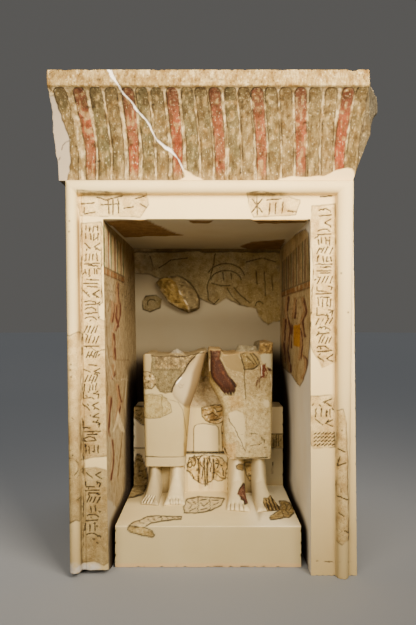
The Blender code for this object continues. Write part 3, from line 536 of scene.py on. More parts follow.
def cornice_dress(points, share, face):
    """Relief and colours of the leaves, the crack, the flat band and the repairs."""
    across, down, paint, _, pitted, dirt, rise = blank(points, "#7f6942", 0.0, 0.55)
    front = face & (share < 1.0)
    band = face & ~front
    number, offset, inside = leaf_pattern(points, share)
    leaf = ramp(inside, -0.35, 0.35) * front
    wear = rugged(points, 0.02, 41)
    streak = grain(points * (1.0, 1.0, 0.22), 0.0075, 45)
    # narrow cream strips between the leaves, with what is left of their white lines
    shade(paint, "#907d52", front)
    shade(paint, "#d6c294", front * ramp(-inside, -0.1, 0.7) * ramp(wear + 0.7 * streak, -0.35, 0.55))
    # leaves in turn olive, red and green
    for kind, colour in enumerate(("#6f5f3b", "#7e3a23", "#645c3b")):
        shade(paint, colour, leaf * (number % 3 == kind) * (0.78 + 0.16 * grain(points, 0.05, 50 + kind)))
    red = leaf * (number % 3 == 1)
    shade(paint, "#8f492c", red * ramp(grain(points, 0.07, 61) - share * 0.6, -0.65, 0.25))
    shade(paint, "#5a3a26", red * ramp(share + 0.06 * wear, 0.66, 0.88) * 0.8)
    shade(paint, "#836c3e", leaf * ramp(wear, 0.15, 0.75) * 0.55)
    green = leaf * (number % 3 != 1)
    shade(paint, "#524f33", green * flecks(points, 0.04, 66, 0.1, 0.8) * 0.6)
    shade(paint, "#494028", green * ramp(share, 0.7, 0.9) * 0.6)
    shade(paint, "#907e56", leaf * (1.0 - ramp(share, 0.03, 0.16)) * 0.8)
    shade(paint, "#b88c68", red * ramp(wear, 0.45, 0.9) * 0.6)
    shade(paint, "#8d774a", green * ramp(across, 215, 300) * 0.4)
    shade(paint, "#b09a67", leaf * ramp(streak, 0.2, 0.65) * 0.6)
    shade(paint, "#463719", leaf * ramp(-streak, 0.25, 0.7) * 0.55)
    # incised outlines
    line = bell(inside + 0.1, 0.52) * front
    arch = ramp(share, 0.84, 0.9)
    cutting = line * (0.75 + 0.35 * arch) * flecks(points, 0.018, 71, -0.8 + 0.4 * (1 - arch), 0.2)
    dirt += 1.9 * cutting
    dirt += 1.2 * front * flecks(points, 0.0085, 79, 0.82, 0.96)
    second = bell(inside + 1.8, 0.55) * front * (1.0 - arch) * flecks(points, 0.03, 72, 0, 0.5)
    dirt += 0.8 * second * (1.0 - ramp(share, 0.45, 0.75))
    rise += LEAF_RISE * leaf * (1.0 - 0.25 * offset ** 2) - 0.0014 * cutting
    # the shadowed lines under the flat band and along the foot
    dirt += 0.45 * front * ramp(share, 0.975, 1)
    dirt += 0.7 * front * bell(down - 180.6, 0.5) * ramp(wear, -0.6, 0)
    # broken right end, behind a dark arris
    beyond = across - (368.8 - 0.15 * (down - 87.0)) + 0.4 * grain(points, 0.01, 75)
    flank = front * ramp(beyond, -0.3, 0.4)
    shade(paint, "#6a5f44", flank)
    mottle(paint, points, flank, ("#4c4029", 0.03, 77, -0.2, 0.6, 0.7), ("#a99a74", 0.012, 78, 0.2, 0.8, 0.6))
    dirt *= 1.0 - 0.7 * flank
    dirt += 0.9 * front * bell(beyond, 0.5)
    rise -= 0.004 * flank
    # flat band
    shade(paint, "#a18a56", band)
    mottle(paint, points, band, ("#805b25", 0.03, 81, 0.15, 0.8, 0.65),
           ("#d2be8a", 0.045, 84, 0.1, 0.7, 0.55), ("#6b4b20", 0.008, 86, 0.25, 0.8, 0.55),
           ("#e6d7ac", 0.01, 88, 0.25, 0.8, 0.55))
    pitted += 0.25 * band
    # rough surface
    rise += (0.0007 * rugged(points, 0.012, 91) + 0.001 * grain(points, 0.06, 94)) * face
    pits = flecks(points, 0.0075, 96, 0.52, 0.8) * flecks(points, 0.08, 97, -0.2, 0.6)
    rise -= 0.0018 * pits * face
    dirt += 0.65 * pits * face
    # white plaster: the crack and the fillings
    width = np.interp(down, [stop[0] for stop in CRACK_WIDTH], [stop[1] for stop in CRACK_WIDTH])
    gap = distance_to(across, down, CRACK) + 0.4 * grain(points, 0.008, 101)
    white = face * ramp(width - gap, -0.35, 0.35)
    ragged = 0.8 * grain(points, 0.012, 103)
    filled = np.zeros(len(points))
    for outline in (LEFT_FILL, RIGHT_FILL):
        filled = np.maximum(filled, ramp(within(across, down, outline) + ragged, -0.4, 0.6) * face)
    lump = ramp(within(across, down, LEFT_PLASTER) + ragged, -0.4, 0.6) * (points[:, 0] < 0.0)
    shade(paint, "#fdf8ee", white)
    shade(paint, "#e7cf97", filled)
    shade(paint, "#b0a48f", lump)
    dirt += 0.45 * bell(width - gap + 0.5, 0.4) * face
    rim = bell(within(across, down, LEFT_PLASTER) + ragged, 0.5) * ramp(wear, -0.5, 0.1)
    nick = cover(across, down, LEFT_NICK, 0.45)
    repair = np.maximum(np.maximum(white, filled), lump)
    pitted *= 1.0 - repair
    dirt *= 1.0 - repair
    dirt += face * (0.8 * rim * (across > 50) + 0.9 * nick * lump)
    rise = rise * (1.0 - repair) + 0.0008 * filled - 0.0006 * white - 0.0015 * nick * lump
    return paint, repair, pitted, dirt, rise


us = np.linspace(0.0, 1.0, 402)
ds = np.concatenate((np.linspace(0.0, 0.34, 86), np.linspace(0.34, 0.58, 34)[1:],
                     np.linspace(0.58, 1.0, 16)[1:]))
rows = np.arange(len(cornice_share))
points, faces, (i, j, k) = skin(us, ds, rows, cornice_place, coarse((40, 40), (1, 2), (14, 8), (14, 5)))
share = cornice_share[k]
face = j == 0
paint, plaster, pitted, dirt, rise = cornice_dress(points, share, face)
side = (i == 0) | (i == len(us) - 1)
broken = side & ~face
shade(paint, "#5c5645", broken)
shade(paint, "#4a412e", broken * patches(points, 0.05, 111, -0.1, 0.7) * 0.7)
shade(paint, "#94896c", (~face & (k < len(rows) - 1)) * ramp(points[:, 1], -0.35, -0.05) * 0.85)
shade(paint, "#cdbc98", (k == len(rows) - 1) & ~face)
points[:, 1] -= rise
cornice_stone = limestone("painted_limestone_cornice", 0.8, 0.7, 1.0, 0.016, 0.45)
cornice_piece = carve("cornice_stone", [(points, faces, paint, finish_of(plaster, pitted, dirt),
                                         np.ones(len(points)))], cornice_stone, "cornice")


# Walls: one block of limestone, hollowed out for the statues, with a round moulding up both sides and
# across the top of the front. Most of its front edge is lost and made up in smooth cream plaster, flush
# with the stone, which keeps its cut inscription and the worn painting on the inner faces.
WALL_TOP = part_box("shrine_body")[1][2]
WALL_LEFT, WALL_LEFT_LEAN = -0.407, 0.014
WALL_RIGHT, WALL_RIGHT_LEAN = 0.41, 0.012
NICHE_LEFT, NICHE_LEFT_LEAN = -0.3026, 0.0166
NICHE_RIGHT, NICHE_RIGHT_LEAN = 0.289, 0.0016
NICHE_HEIGHT = 1.016
NICHE_BACK_Y = 0.4475
ROLL_REACH, ROLL_STRAIGHT, ROLL_HEIGHT = 0.03, 0.012, 0.0395
ROLL_LEFT_WIDTH = 0.031
ROLL_RIGHT_TOP_WIDTH, ROLL_RIGHT_FOOT_WIDTH, ROLL_RIGHT_FOOT_INSET = 0.049, 0.033, 0.027
QUIRK_WIDTH, QUIRK_DEPTH, QUIRK_TOP_GAP = 0.012, 0.004, 0.004
CHIP_HEIGHT, CHIP_DEPTH = 0.0165, 0.052
STROKE_DEPTH = 0.002
PLASTER, STONE, HIDDEN_PLASTER = "#f6dd9f", "#f3d898", "#d8c8a8"
wall_stone = limestone("limestone_and_lime_plaster_walls", 0.55, 0.45, 1.0)


def blend(start, end, share):
    """Value between two values."""
    return start + (end - start) * share


def niche_x(z, right):
    """Inner face of the left or right wall at a height."""
    up = 1.0 - np.minimum(z, NICHE_HEIGHT) / NICHE_HEIGHT
    return NICHE_RIGHT + NICHE_RIGHT_LEAN * up if right else NICHE_LEFT + NICHE_LEFT_LEAN * up


def outer_x(z, right):
    """Outer face of the left or right wall at a height."""
    up = 1.0 - z / WALL_TOP
    return WALL_RIGHT + WALL_RIGHT_LEAN * up if right else WALL_LEFT + WALL_LEFT_LEAN * up


def door_height(x, z):
    """How far the round moulding stands in front of the door plane, less the groove beside it."""
    under = WALL_TOP - ROLL_HEIGHT
    left = (x - outer_x(z, False)) / ROLL_LEFT_WIDTH
    foot = WALL_RIGHT + WALL_RIGHT_LEAN - ROLL_RIGHT_FOOT_INSET
    edge = blend(foot, WALL_RIGHT, z / WALL_TOP)
    inner = blend(foot - ROLL_RIGHT_FOOT_WIDTH, WALL_RIGHT - ROLL_RIGHT_TOP_WIDTH, np.minimum(z / under, 1.0))
    right = (edge - x) / (edge - inner)
    share = np.minimum(np.minimum(left, right), (WALL_TOP - z) / ROLL_HEIGHT)
    round_part = np.sqrt(np.clip(1.0 - (1.0 - 2.0 * np.clip(share, 0.0, 1.0)) ** 2, 0.0, 1.0))
    height = ROLL_STRAIGHT + (ROLL_REACH - ROLL_STRAIGHT) * round_part
    height = np.where((share > 1.0001) | (share < -0.0001), 0.0, height)
    quirk = (left > 1.0001) & (left < 1.0 + QUIRK_WIDTH / ROLL_LEFT_WIDTH) & (z < under - QUIRK_TOP_GAP)
    return np.where(quirk, -QUIRK_DEPTH, height)


def oval(x, y, wide, high, start, end, count):
    """Bent stroke on an oval."""
    return tuple((x + wide * math.cos(t), y - high * math.sin(t)) for t in np.linspace(start, end, count))


def mark_rows(left, right, top, foot, seed):
    """Rows of bars, ticks, hooks and slanted strokes for a worn inscription. They are no script."""
    chance = np.random.default_rng(seed)
    marks = []
    wide = right - left
    down = top
    while down < foot - 5.0:
        high = chance.uniform(6.0, 9.5)
        kind = int(chance.integers(0, 6))
        a, b = left + chance.uniform(0.0, 0.12) * wide, right - chance.uniform(0.0, 0.12) * wide
        low = min(down + high, foot)
        if kind == 0:
            marks.append(((a, down + 1.5), (b, down + 1.2)))
            marks.append(((a + 0.2 * wide, down + 4.2), (b - 0.1 * wide, down + 4.5)))
            low = down + 5.0
        elif kind == 1:
            for share in (0.1, 0.38, 0.66, 0.9):
                x = blend(a, b, share) + chance.uniform(-0.5, 0.5)
                marks.append(((x, down + chance.uniform(0.0, 2.0)),
                              (x + chance.uniform(-0.5, 0.5), low - 0.8)))
        elif kind == 2:
            for share in (0.05, 0.3, 0.55, 0.8):
                x = blend(a, b, share)
                marks.append(((x, low - 1.0), (x + 0.16 * wide, down + 1.0)))
        elif kind == 3:
            middle = blend(a, b, chance.uniform(0.35, 0.6))
            marks.append(((a, down + 1.0), (a, low - 1.0), (middle, low - 1.2)))
            marks.append(((middle + 2.5, down + 1.5), (b, down + 2.5), (b - 1.0, low - 1.5)))
        elif kind == 4:
            x, y = blend(a, b, 0.42), (down + low) / 2.0
            marks.append(oval(x, y, 0.36 * wide, 0.42 * high, 0.1, 2.6, 7))
            marks.append(((a + 1.0, low - 1.5), (b - 2.0, low - 2.2)))
        else:
            marks.append(((a, down + 2.0), (blend(a, b, 0.4), low - 2.0)))
            marks.append(((b, down + 1.0), (blend(a, b, 0.6), down + 4.5), (b, low - 1.0)))
        down = low + chance.uniform(0.6, 1.8)
    worn = []
    for mark in marks:
        shift = chance.uniform(-0.7, 0.7, 2)
        if chance.uniform() < 0.9:
            worn.append(tuple((x + shift[0] + chance.uniform(-0.45, 0.45),
                               y + shift[1] + chance.uniform(-0.45, 0.45)) for x, y in mark))
    for _ in range(int((foot - top) / 5.0)):
        x, y = chance.uniform(left, right), chance.uniform(top, foot)
        worn.append(((x, y), (x + chance.uniform(-1.8, 1.8), y + chance.uniform(0.3, 1.6))))
    return worn


LEFT_MARKS = mark_rows(83.0, 100.0, 225.0, 455.0, 3) + mark_rows(84.0, 101.0, 470.0, 543.0, 4)
RIGHT_MARKS = mark_rows(315.5, 333.0, 209.0, 363.0, 7) + mark_rows(313.0, 334.0, 398.0, 430.0, 9)
for ripple in range(4):
    RIGHT_MARKS += [((314.0 + 3.6 * step, 434.4 + 3.7 * ripple), (316.4 + 3.6 * step, 432.8 + 3.7 * ripple))
                    for step in range(6)]
RIGHT_MARKS += [((338, 449), (345, 452)), ((340, 457), (337, 466), (346, 463)), ((337, 496), (348, 500)),
                ((339, 513), (344, 516)), ((345, 531), (348, 533))]
LINTEL_MARKS = [
    ((81, 204), (94, 203)), ((84, 208), (84, 214), (95, 212)), ((97, 197), (106, 200), (122, 196)),
    ((101, 205), (119, 204)), ((108, 200), (109, 214)), ((113, 200), (113, 214)), ((118, 199), (118.5, 213)),
    ((124, 208), (133, 207)), ((135, 199), (145, 196)), ((140, 204), (146, 207)), ((252, 199), (262, 212)),
    ((262, 199), (252, 212)), ((257, 197), (257, 215)), ((267, 200), (281, 199)), ((270, 203), (269, 214)),
    ((276, 203), (275, 214)), ((283, 202), (282, 213)), ((288, 211), (296, 212)), ((320, 197), (332, 196))]
LEFT_STONE = (
    (81, 223), (101, 222), (106, 235), (105, 262), (101, 268), (103, 303), (98, 305), (99, 318), (107.5, 322),
    (110, 452), (108, 456), (84, 459), (81, 459))
LEFT_LOWER_STONE = ((80.5, 469), (96, 467), (108, 471), (109, 562), (104, 566), (94, 561), (82, 563))
LEFT_ROLL_STONE = ((60, 333), (70, 336), (79, 331), (83, 334), (84, 523), (76, 520), (68, 524), (60, 522))
RIGHT_STONE = (
    (312, 206), (335, 204), (336.5, 262), (338, 300), (336, 362), (322, 368), (313, 352), (309, 340),
    (311, 300), (313, 262), (310, 232))
RIGHT_LOWER_STONE = ((311, 396), (334, 395), (335, 447), (313, 449), (309.5, 440), (305, 422), (309, 408))
RIGHT_ROLL_STONE = (
    (337, 411), (343, 409), (346, 420), (348, 470), (348.5, 540), (342, 545), (336.5, 541), (336, 470))
LINTEL_LEFT_STONE = ((77, 190), (130, 193), (146, 192), (149, 205), (140, 217), (80, 216))
LINTEL_RIGHT_STONE = ((247, 193), (262, 191), (285, 196), (300, 200), (296, 215), (254, 217), (249, 206))
FRONT_STONES = (LEFT_STONE, LEFT_LOWER_STONE, LEFT_ROLL_STONE, RIGHT_STONE, RIGHT_LOWER_STONE,
                RIGHT_ROLL_STONE, LINTEL_LEFT_STONE, LINTEL_RIGHT_STONE)
FRONT_MARKS = [*LEFT_MARKS, *RIGHT_MARKS, *LINTEL_MARKS]
FRONT_CRACKS = (
    ((64, 459), (68.7, 458), (74, 459), (78, 463), (78, 470), (74, 476)), ((68, 478), (74, 479), (79, 475)),
    ((81.5, 224), (81.8, 300), (83.5, 545)), ((101, 224), (101.5, 300)),
    ((316, 561), (334, 562.5), (352, 562)), ((70, 505), (75, 500), (80, 498)),
    ((88, 345), (97, 352), (106, 349)), ((72, 418), (77, 422)), ((313.5, 262), (312, 300), (309.5, 338)))
ROLL_PITS = (
    (341.3, 273.2), (348.2, 312.4), (69.3, 221), (69, 231.6), (71, 364.5), (70.4, 370), (71.2, 377),
    (72.6, 455.4), (342, 430.6), (62.8, 205.6), (63, 243), (64.2, 335))


def front_dress(points, face):
    """Relief and colours on the front of the walls."""
    across, down, paint, plaster, pitted, dirt, rise = blank(points, PLASTER, 1.0, 0.05)
    on_roll = door_height(points[:, 0], points[:, 2]) > 0.011
    paint *= 1.0 - 0.1 * on_roll[:, None]
    ragged = 0.9 * rugged(points, 0.022, 201)
    stone, outline = np.zeros(len(points)), np.zeros(len(points))
    for shape in FRONT_STONES:
        deep = within(across, down, shape) + ragged
        stone = np.maximum(stone, ramp(deep, -0.4, 0.5))
        outline = np.maximum(outline, bell(deep, 0.55))
    stone *= face
    outline *= face * flecks(points, 0.03, 204, -0.6, 0.3)
    shade(paint, STONE, stone)
    mottle(paint, points, stone, ("#ac864e", 0.05, 206, 0, 0.8, 0.42), ("#ebd79e", 0.035, 209, 0.1, 0.8, 0.6))
    lower = stone * (across < 110) * ramp(down, 330, 480)
    shade(paint, "#a18c5a", lower * 0.55)
    dirt += 0.16 * stone * patches(points, 0.012, 211, 0.1, 0.8)
    pitted = np.maximum(pitted, 0.8 * stone)
    plaster -= stone
    # brown stains and a painted shadow under the horizontal moulding, and painted shade in the groove beside
    # the left one
    stain = bell(down - 194, 2.4) * (ramp(across, 78, 84) * fall(across, 118, 138)
                                     + ramp(across, 246, 252) * fall(across, 280, 290))
    dirt += 0.85 * np.clip(stain, 0.0, 1.0) * face * flecks(points, 0.015, 215, -0.9, 0.1)
    quirk = bell(across - 79.0 - 0.01 * (down - 270.0), 1.6) * ramp(down, 205, 225) * face
    shade(paint, "#86642c", quirk * fall(down, 320, 352) * 0.85)
    dirt += 0.55 * quirk * fall(down, 320, 352) * flecks(points * (1.0, 1.0, 0.3), 0.02, 217, 0, 0.5)
    shade(paint, "#c2a26c", bell(across - 335, 1.8) * ramp(down, 255, 270)
          * fall(down, 360, 445) * face * 0.6)
    # the cut inscription
    wobble = 0.4 * grain(points, 0.007, 221)
    worn = flecks(points, 0.02, 223, -1.05, -0.35)
    cut = cover(across + wobble, down - wobble, FRONT_MARKS, 0.55) * worn * face
    thin = (cover(across + 2.0 * wobble, down + 2.0 * wobble, FRONT_CRACKS, 0.36) * face
            * flecks(points, 0.02, 225, -0.5, 0.2))
    dirt += 2.4 * cut + 1.3 * thin + 0.85 * outline
    rise -= STROKE_DEPTH * cut + 0.0008 * thin
    pits = (flecks(points, 0.007, 231, 0.72, 0.92) * flecks(points, 0.12, 233, 0.1, 0.7)
            * (0.25 + 0.75 * stone))
    rise -= 0.0016 * pits * face
    dirt += 0.8 * pits * face
    for x, y in ROLL_PITS:
        dirt += 1.2 * face * np.exp(-((across - x) ** 2 + (down - y) ** 2) / 0.7)
    rise += (0.0005 * grain(points, 0.08, 235) + stone * 0.0006 * rugged(points, 0.012, 236)) * face
    # rough foot of the left side
    foot = ramp(down, 561, 566) * (across < 120) * face
    shade(paint, "#f4efe6", foot * patches(points, 0.03, 241, -0.5, 0.2))
    rise += 0.0015 * foot * rugged(points, 0.012, 243)
    # dark line along the underside of the chipped foot: painted shadow
    dirt += 0.7 * face * (across < 120) * ramp(0.0185 - points[:, 2], 0, 0.004)
    shade(paint, "#e6d49b", on_roll * (across < 110) * fall(down, 322, 330) * 0.6)
    # darker towards the foot: painted fall-off of the light, partly dirt
    paint *= (1.0 - 0.45 * ramp(down, 330, 590) * face)[:, None]
    return paint, plaster, pitted, dirt, rise


LEFT_STRIPES = ("#89936b", "#ecce8e", "#dcc992", "#a6744a", "#eeddb0")
LEFT_WALL_STROKES = (
    ((118.6, 284), (118, 294), (119.2, 304)), ((120.3, 303), (119.6, 316), (117.4, 326), (115.6, 331)),
    ((117, 305), (116.2, 318), (118.4, 327)), ((113.4, 303), (114.4, 312), (112.6, 322)),
    ((114, 334), (114.8, 346), (115.4, 360)), ((114.8, 366), (115.2, 374), (113, 379)),
    ((118.5, 386), (119.6, 394), (121.5, 402)), ((121, 404), (119, 412), (117, 420)),
    ((111.2, 398), (110.6, 412), (108.8, 428), (110, 436)), ((112.4, 440), (114.2, 456), (113, 470),
    (111, 480)))
LEFT_WALL_CRACKS = (
    ((106.5, 352), (109, 364), (113.5, 379), (119, 381), (125, 378.5), (131, 381)),
    ((118, 411), (115.5, 424), (112, 433)), ((118, 411), (122, 424), (126, 434)),
    ((127, 375), (125, 400), (127, 430)))
LEFT_WALL_BROWNS = (
    ((105.2, 300), (106.4, 322), (107.4, 344), (109, 358)), ((110.5, 356), (118, 360), (128.5, 360)),
    ((110.2, 300), (108, 312)), ((122.6, 430), (121, 450), (119, 464), (118, 476)),
    ((106.8, 372), (108, 390), (107, 404)), ((104.4, 238), (105, 262)))
LEFT_WEDGE = (
    (117.8, 411), (122.5, 425), (125.5, 433), (121, 431), (117.8, 423), (114.5, 431), (111.5, 434),
    (115, 424))
RIGHT_WALL_STONE = (
    (305.6, 229), (299, 232.5), (291, 238), (283, 247), (277, 252), (277, 365), (282.6, 367), (288, 371.5),
    (292, 375), (296, 382), (300, 386.5), (304, 379), (308, 365), (309.6, 348), (311.5, 300), (310.6, 272),
    (308.6, 233))
RIGHT_WALL_STROKES = (
    ((289, 297), (287.5, 312), (290.5, 328), (288, 350), (291.5, 372)),
    ((304.5, 299), (306.5, 312), (303, 322), (305.5, 337)), ((301.5, 330), (303, 345), (301, 360)),
    ((304, 356), (307.5, 360), (307, 374), (303.5, 379)), ((292, 325), (291.5, 348)),
    ((286, 320), (284.5, 345), (286, 362)), ((297, 300), (295, 318)))
# outlines of the deep gaps beside the statues, painted near black as shadow
LEFT_GAP_SHADOW = (
    (133, 330), (132.5, 346), (130, 378), (126.5, 405), (125, 430), (125.2, 480), (124.6, 490), (120.8, 500),
    (115.6, 510), (111, 520), (109, 530), (108.3, 545), (109, 575), (145, 575), (145, 330))
RIGHT_GAP_SHADOW = (
    (279, 335), (282.5, 352), (283.5, 365), (286, 380), (288.8, 400), (290, 420), (290.6, 450), (290.3, 480),
    (292, 490), (295.5, 500), (300.5, 510), (304.2, 520), (307, 530), (307.8, 545), (308.2, 575), (265, 575),
    (265, 335))
PAINTED_GAP_SHADE = "#2a1c0b"
YELLOW_PANEL = ((293.5, 325.5), (300.6, 324), (300.4, 347), (293.5, 346))
STRIPE_WIDTH = 0.03
DOT_HIGH, DOT_WIDE, DOT_RADIUS = 0.0165, 0.034, 0.0042


def inner_dress(points, right):
    """Relief and colours on the inner face of a side wall."""
    # one plaster in two tones, darker on the left wall: painted shade
    across, down, paint, plaster, _, dirt, _ = blank(points, "#e0ddd1" if right else "#bdb8a9", 1.0, 0.0)
    deep = points[:, 1] - DOOR_Y
    z = points[:, 2]
    ragged = 0.5 * rugged(points, 0.035, 301)
    if right:
        inside = within(across, down, RIGHT_WALL_STONE) + ragged
        top, foot = 0.975 - 0.02 * deep, 0.842
    else:
        inside = 3.0 * ramp(500.0 - down + 12.0 * rugged(points, 0.12, 303), -6, 6) - 1.0
        top, foot = 1.0 - 0.02 * deep, 0.882
    stone = ramp(inside, -0.25, 0.3)
    plaster -= stone
    shade(paint, "#bfaa7c" if right else "#a8946a", stone)
    mottle(paint, points, stone, ("#75602f", 0.09, 305, -0.1, 0.8, 0.6),
           ("#c9b98c", 0.05, 307, 0.1, 0.8, 0.5))
    if not right:
        shade(paint, "#8f7c55", stone * ramp(across, 110, 128) * ramp(down, 270, 300) * 0.5)
    # painted upright stripes over a band
    stripe = deep / STRIPE_WIDTH
    number = np.floor(stripe).astype(int)
    within_stripe = stripe - number
    reach = 0.8 if right else 0.5 + 0.02 * rugged(points, 0.04, 309)
    banner = stone * ramp(z, foot, foot + 0.003) * ramp(top - z, 0, 0.004) * ramp(reach - deep, 0, 0.012)
    # stripe colours lightened as painted light where the ceiling shades the left wall; on the right wall laid
    # weaker and darkened as painted shade
    for kind, colour in enumerate(LEFT_STRIPES):
        shade(paint, colour, banner * (number % len(LEFT_STRIPES) == kind) * (0.75 if right else 1.0)
              * flecks(points, 0.04, 311, -1, -0.1))
    shade(paint, "#5c4621", banner * (0.45 if right else 0.0))
    dirt += (1.1 if right else 0.7) * banner * bell(np.minimum(within_stripe, 1.0 - within_stripe), 0.13)
    band = stone * ramp(z, foot - 0.024, foot - 0.021) * ramp(foot - z, 0, 0.003)
    band *= ramp(reach - deep, 0, 0.012)
    shade(paint, "#8a5a26", band * flecks(points, 0.03, 313, -0.8, 0.2) * 0.9)
    lines = bell(z - foot, 0.002) + bell(z - foot + 0.022, 0.002)
    dirt += 0.9 * stone * lines * ramp(reach - deep, 0, 0.012)
    # dotted rows under the band
    text_top, text_foot = foot - 0.03, foot - (0.16 if right else 0.07)
    reach = (deep > (0.1 if right else 0.0)) & (deep < (0.62 if right else 0.34))
    row, column = z / DOT_HIGH, deep / DOT_WIDE
    dot = np.hypot((row - np.floor(row) - 0.5) * DOT_HIGH,
                   (column - np.floor(column) - 0.5) * DOT_WIDE * 0.45)
    dot = ramp(DOT_RADIUS - dot, -0.0012, 0.0012) * flecks(points, 0.011, 317, -0.2, 0.2)
    dirt += 0.6 * stone * dot * reach * ramp(text_top - z, 0, 0.003) * ramp(z - text_foot, 0, 0.003)
    # red-brown remains of painted figures, in broad generic strokes
    strokes = RIGHT_WALL_STROKES if right else LEFT_WALL_STROKES
    red = cover(across + 0.7 * grain(points, 0.03, 321), down, strokes, 0.9) * stone
    shade(paint, "#5c2910", red * flecks(points, 0.014, 319, -0.9, -0.2))
    stone = stone * (1.0 - 0.8 * red)
    plaster = np.maximum(plaster, 0.7 * red)
    shade(paint, "#a8703f", ramp(cover(across + 1.5, down + 1.0, strokes, 1.3) - red, 0.2, 0.8) * stone * 0.5)
    if right:
        shade(paint, "#c08a1e", ramp(within(across, down, YELLOW_PANEL) + 0.3 * ragged, -0.2, 0.3) * stone
              * 0.95)
        edge = bell(inside, 0.4)
        dirt += 0.8 * edge
    else:
        cracks = cover(across, down + 1.2 * grain(points, 0.02, 325), LEFT_WALL_CRACKS, 0.3)
        white = ramp(within(across, down, LEFT_WEDGE), -0.3, 0.3)
        browned = cover(across + 0.5 * grain(points, 0.02, 323), down, LEFT_WALL_BROWNS, 0.45) * stone
        shade(paint, "#6a4c1f", browned * flecks(points, 0.012, 324, -0.7, 0) * 0.85)
        fine = flecks(points, 0.0065, 329, 0.45, 0.75) * ramp(down, 274, 278)
        dirt += 0.55 * fine * stone * (fall(down, 300, 330) + 0.6 * ramp(across, 118, 124)
                                       * fall(down, 350, 380))
        shade(paint, "#b9ad8a", stone * ramp(down, 395, 440) * (1.0 - red) * (1.0 - browned) * 0.55)
        shade(paint, "#d8c9a0", np.maximum(cracks * 0.8, white))
        dirt *= 1.0 - white
        shade(paint, "#aa9c7d", ramp(down, 480, 500) * 0.6)
    # near-black painted shadow in the deep gaps between the walls and the statues
    gap = ramp(within(across, down, RIGHT_GAP_SHADOW if right else LEFT_GAP_SHADOW), -2.5, 2)
    gap *= 1.0 if right else ramp(down, 348, 386)
    shade(paint, PAINTED_GAP_SHADE, gap)
    dirt *= 1.0 - gap
    rise = 0.0012 * stone * (1.0 if right else 0.0) + 0.0007 * rugged(points, 0.03, 327) * stone
    rise -= 0.0008 * dot * stone * reach
    return paint, plaster, 0.08 + 0.75 * stone, dirt, rise


def side_wall(right):
    """One side wall with its jamb, its moulding and its inner face."""
    us = np.linspace(0.0, 1.0, 72 if right else 66)
    if right:
        us = us[::-1]
    ds = np.concatenate(([0.0, 0.0025, 0.005, 0.0085, 0.013],
                         np.arange(0.02, BACK_Y - DOOR_Y - 0.004, 0.0082), [BACK_Y - DOOR_Y]))
    zs = np.unique(np.round(np.concatenate((np.linspace(0.0, NICHE_HEIGHT, 513),
                                            np.linspace(NICHE_HEIGHT, WALL_TOP, 58))), 6))

    def place(u, d, z, spot):
        x = blend(outer_x(z, right), niche_x(z, right), u)
        y = DOOR_Y + d
        z = z.copy()
        front = spot[1] == 0
        y[front] -= door_height(x[front], z[front])
        if not right:
            flat = np.stack((x, y, np.zeros(len(x))), 1)
            chip = CHIP_HEIGHT + 0.002 * rugged(flat, 0.02, 331)
            chip *= ramp(DOOR_Y + CHIP_DEPTH - y, -0.002, 0.004)
            z = np.maximum(z, chip)
        return np.stack((x, y, z), 1)

    outer, inner = ("right", "left") if right else ("left", "right")
    inner_i = 0 if right else len(us) - 1
    points, faces, (i, j, _) = skin(us, ds, zs, place, {"back": (9, 60), "foot": (9, 12), "top": (9, 12),
                                                        outer: (12, 40), inner: (1, 2)})
    front = j == 0
    inner_face = (i == inner_i) & ~front & (j < len(ds) - 1) & (points[:, 2] < NICHE_HEIGHT)
    paint, plaster, pitted, dirt, rise = front_dress(points, front)
    points[front, 1] -= rise[front]
    paint_in, plaster_in, pitted_in, dirt_in, rise_in = inner_dress(points[inner_face], right)
    paint[inner_face], plaster[inner_face] = paint_in, plaster_in
    pitted[inner_face], dirt[inner_face] = pitted_in, dirt_in
    points[inner_face, 0] += rise_in * (-1.0 if right else 1.0)
    outside = ~front & ~inner_face
    shade(paint, HIDDEN_PLASTER, outside)
    wear = np.ones(len(points))
    wear[(i == inner_i) & (points[:, 2] > NICHE_HEIGHT - 0.003)] = 0.0
    wear[(i == inner_i) & (j == len(ds) - 1)] = 0.0
    return points, faces, paint, finish_of(plaster, pitted, dirt), wear


BACK_STONE = (
    (130, 240), (284, 240), (284, 321), (274, 321), (268, 325), (258.6, 316.5), (256, 309), (240, 304.5),
    (226, 298), (215, 305), (199.6, 298), (190, 284), (176, 279), (160, 279), (149, 274.5), (130, 272))
SMALL_STONE = ((142, 301), (146, 296), (156, 295), (162, 299), (160, 308), (150, 312), (143.5, 309))
BACK_LINES = (
    oval(151.6, 303.2, 4.4, 3.8, 0.6, 3.7, 9), oval(226.0, 281.0, 15.5, 10.5, 0.1, 3.0, 12),
    oval(226.0, 279.0, 19.0, 15.5, 0.25, 2.7, 10), ((212, 283), (221, 286), (230, 285.4)),
    ((222.5, 272.5), (224, 280)), ((231, 273), (231.6, 279)), ((215, 254), (212.5, 270), (207, 287.5)),
    ((227, 288), (232, 296), (240, 304)), ((234, 287.5), (240, 295), (250, 303)),
    oval(259.4, 305.4, 4.0, 4.0, 0.4, 3.3, 7), ((207, 288), (208.5, 300), (214, 304), (219, 299)),
    ((159, 268), (171, 260), (187.5, 258)), ((150, 256), (153, 266)), ((246, 262), (262, 258), (276, 262)),
    ((256, 270), (257, 284)), ((264, 272), (265.5, 296)), ((272, 276), (272.6, 290)))


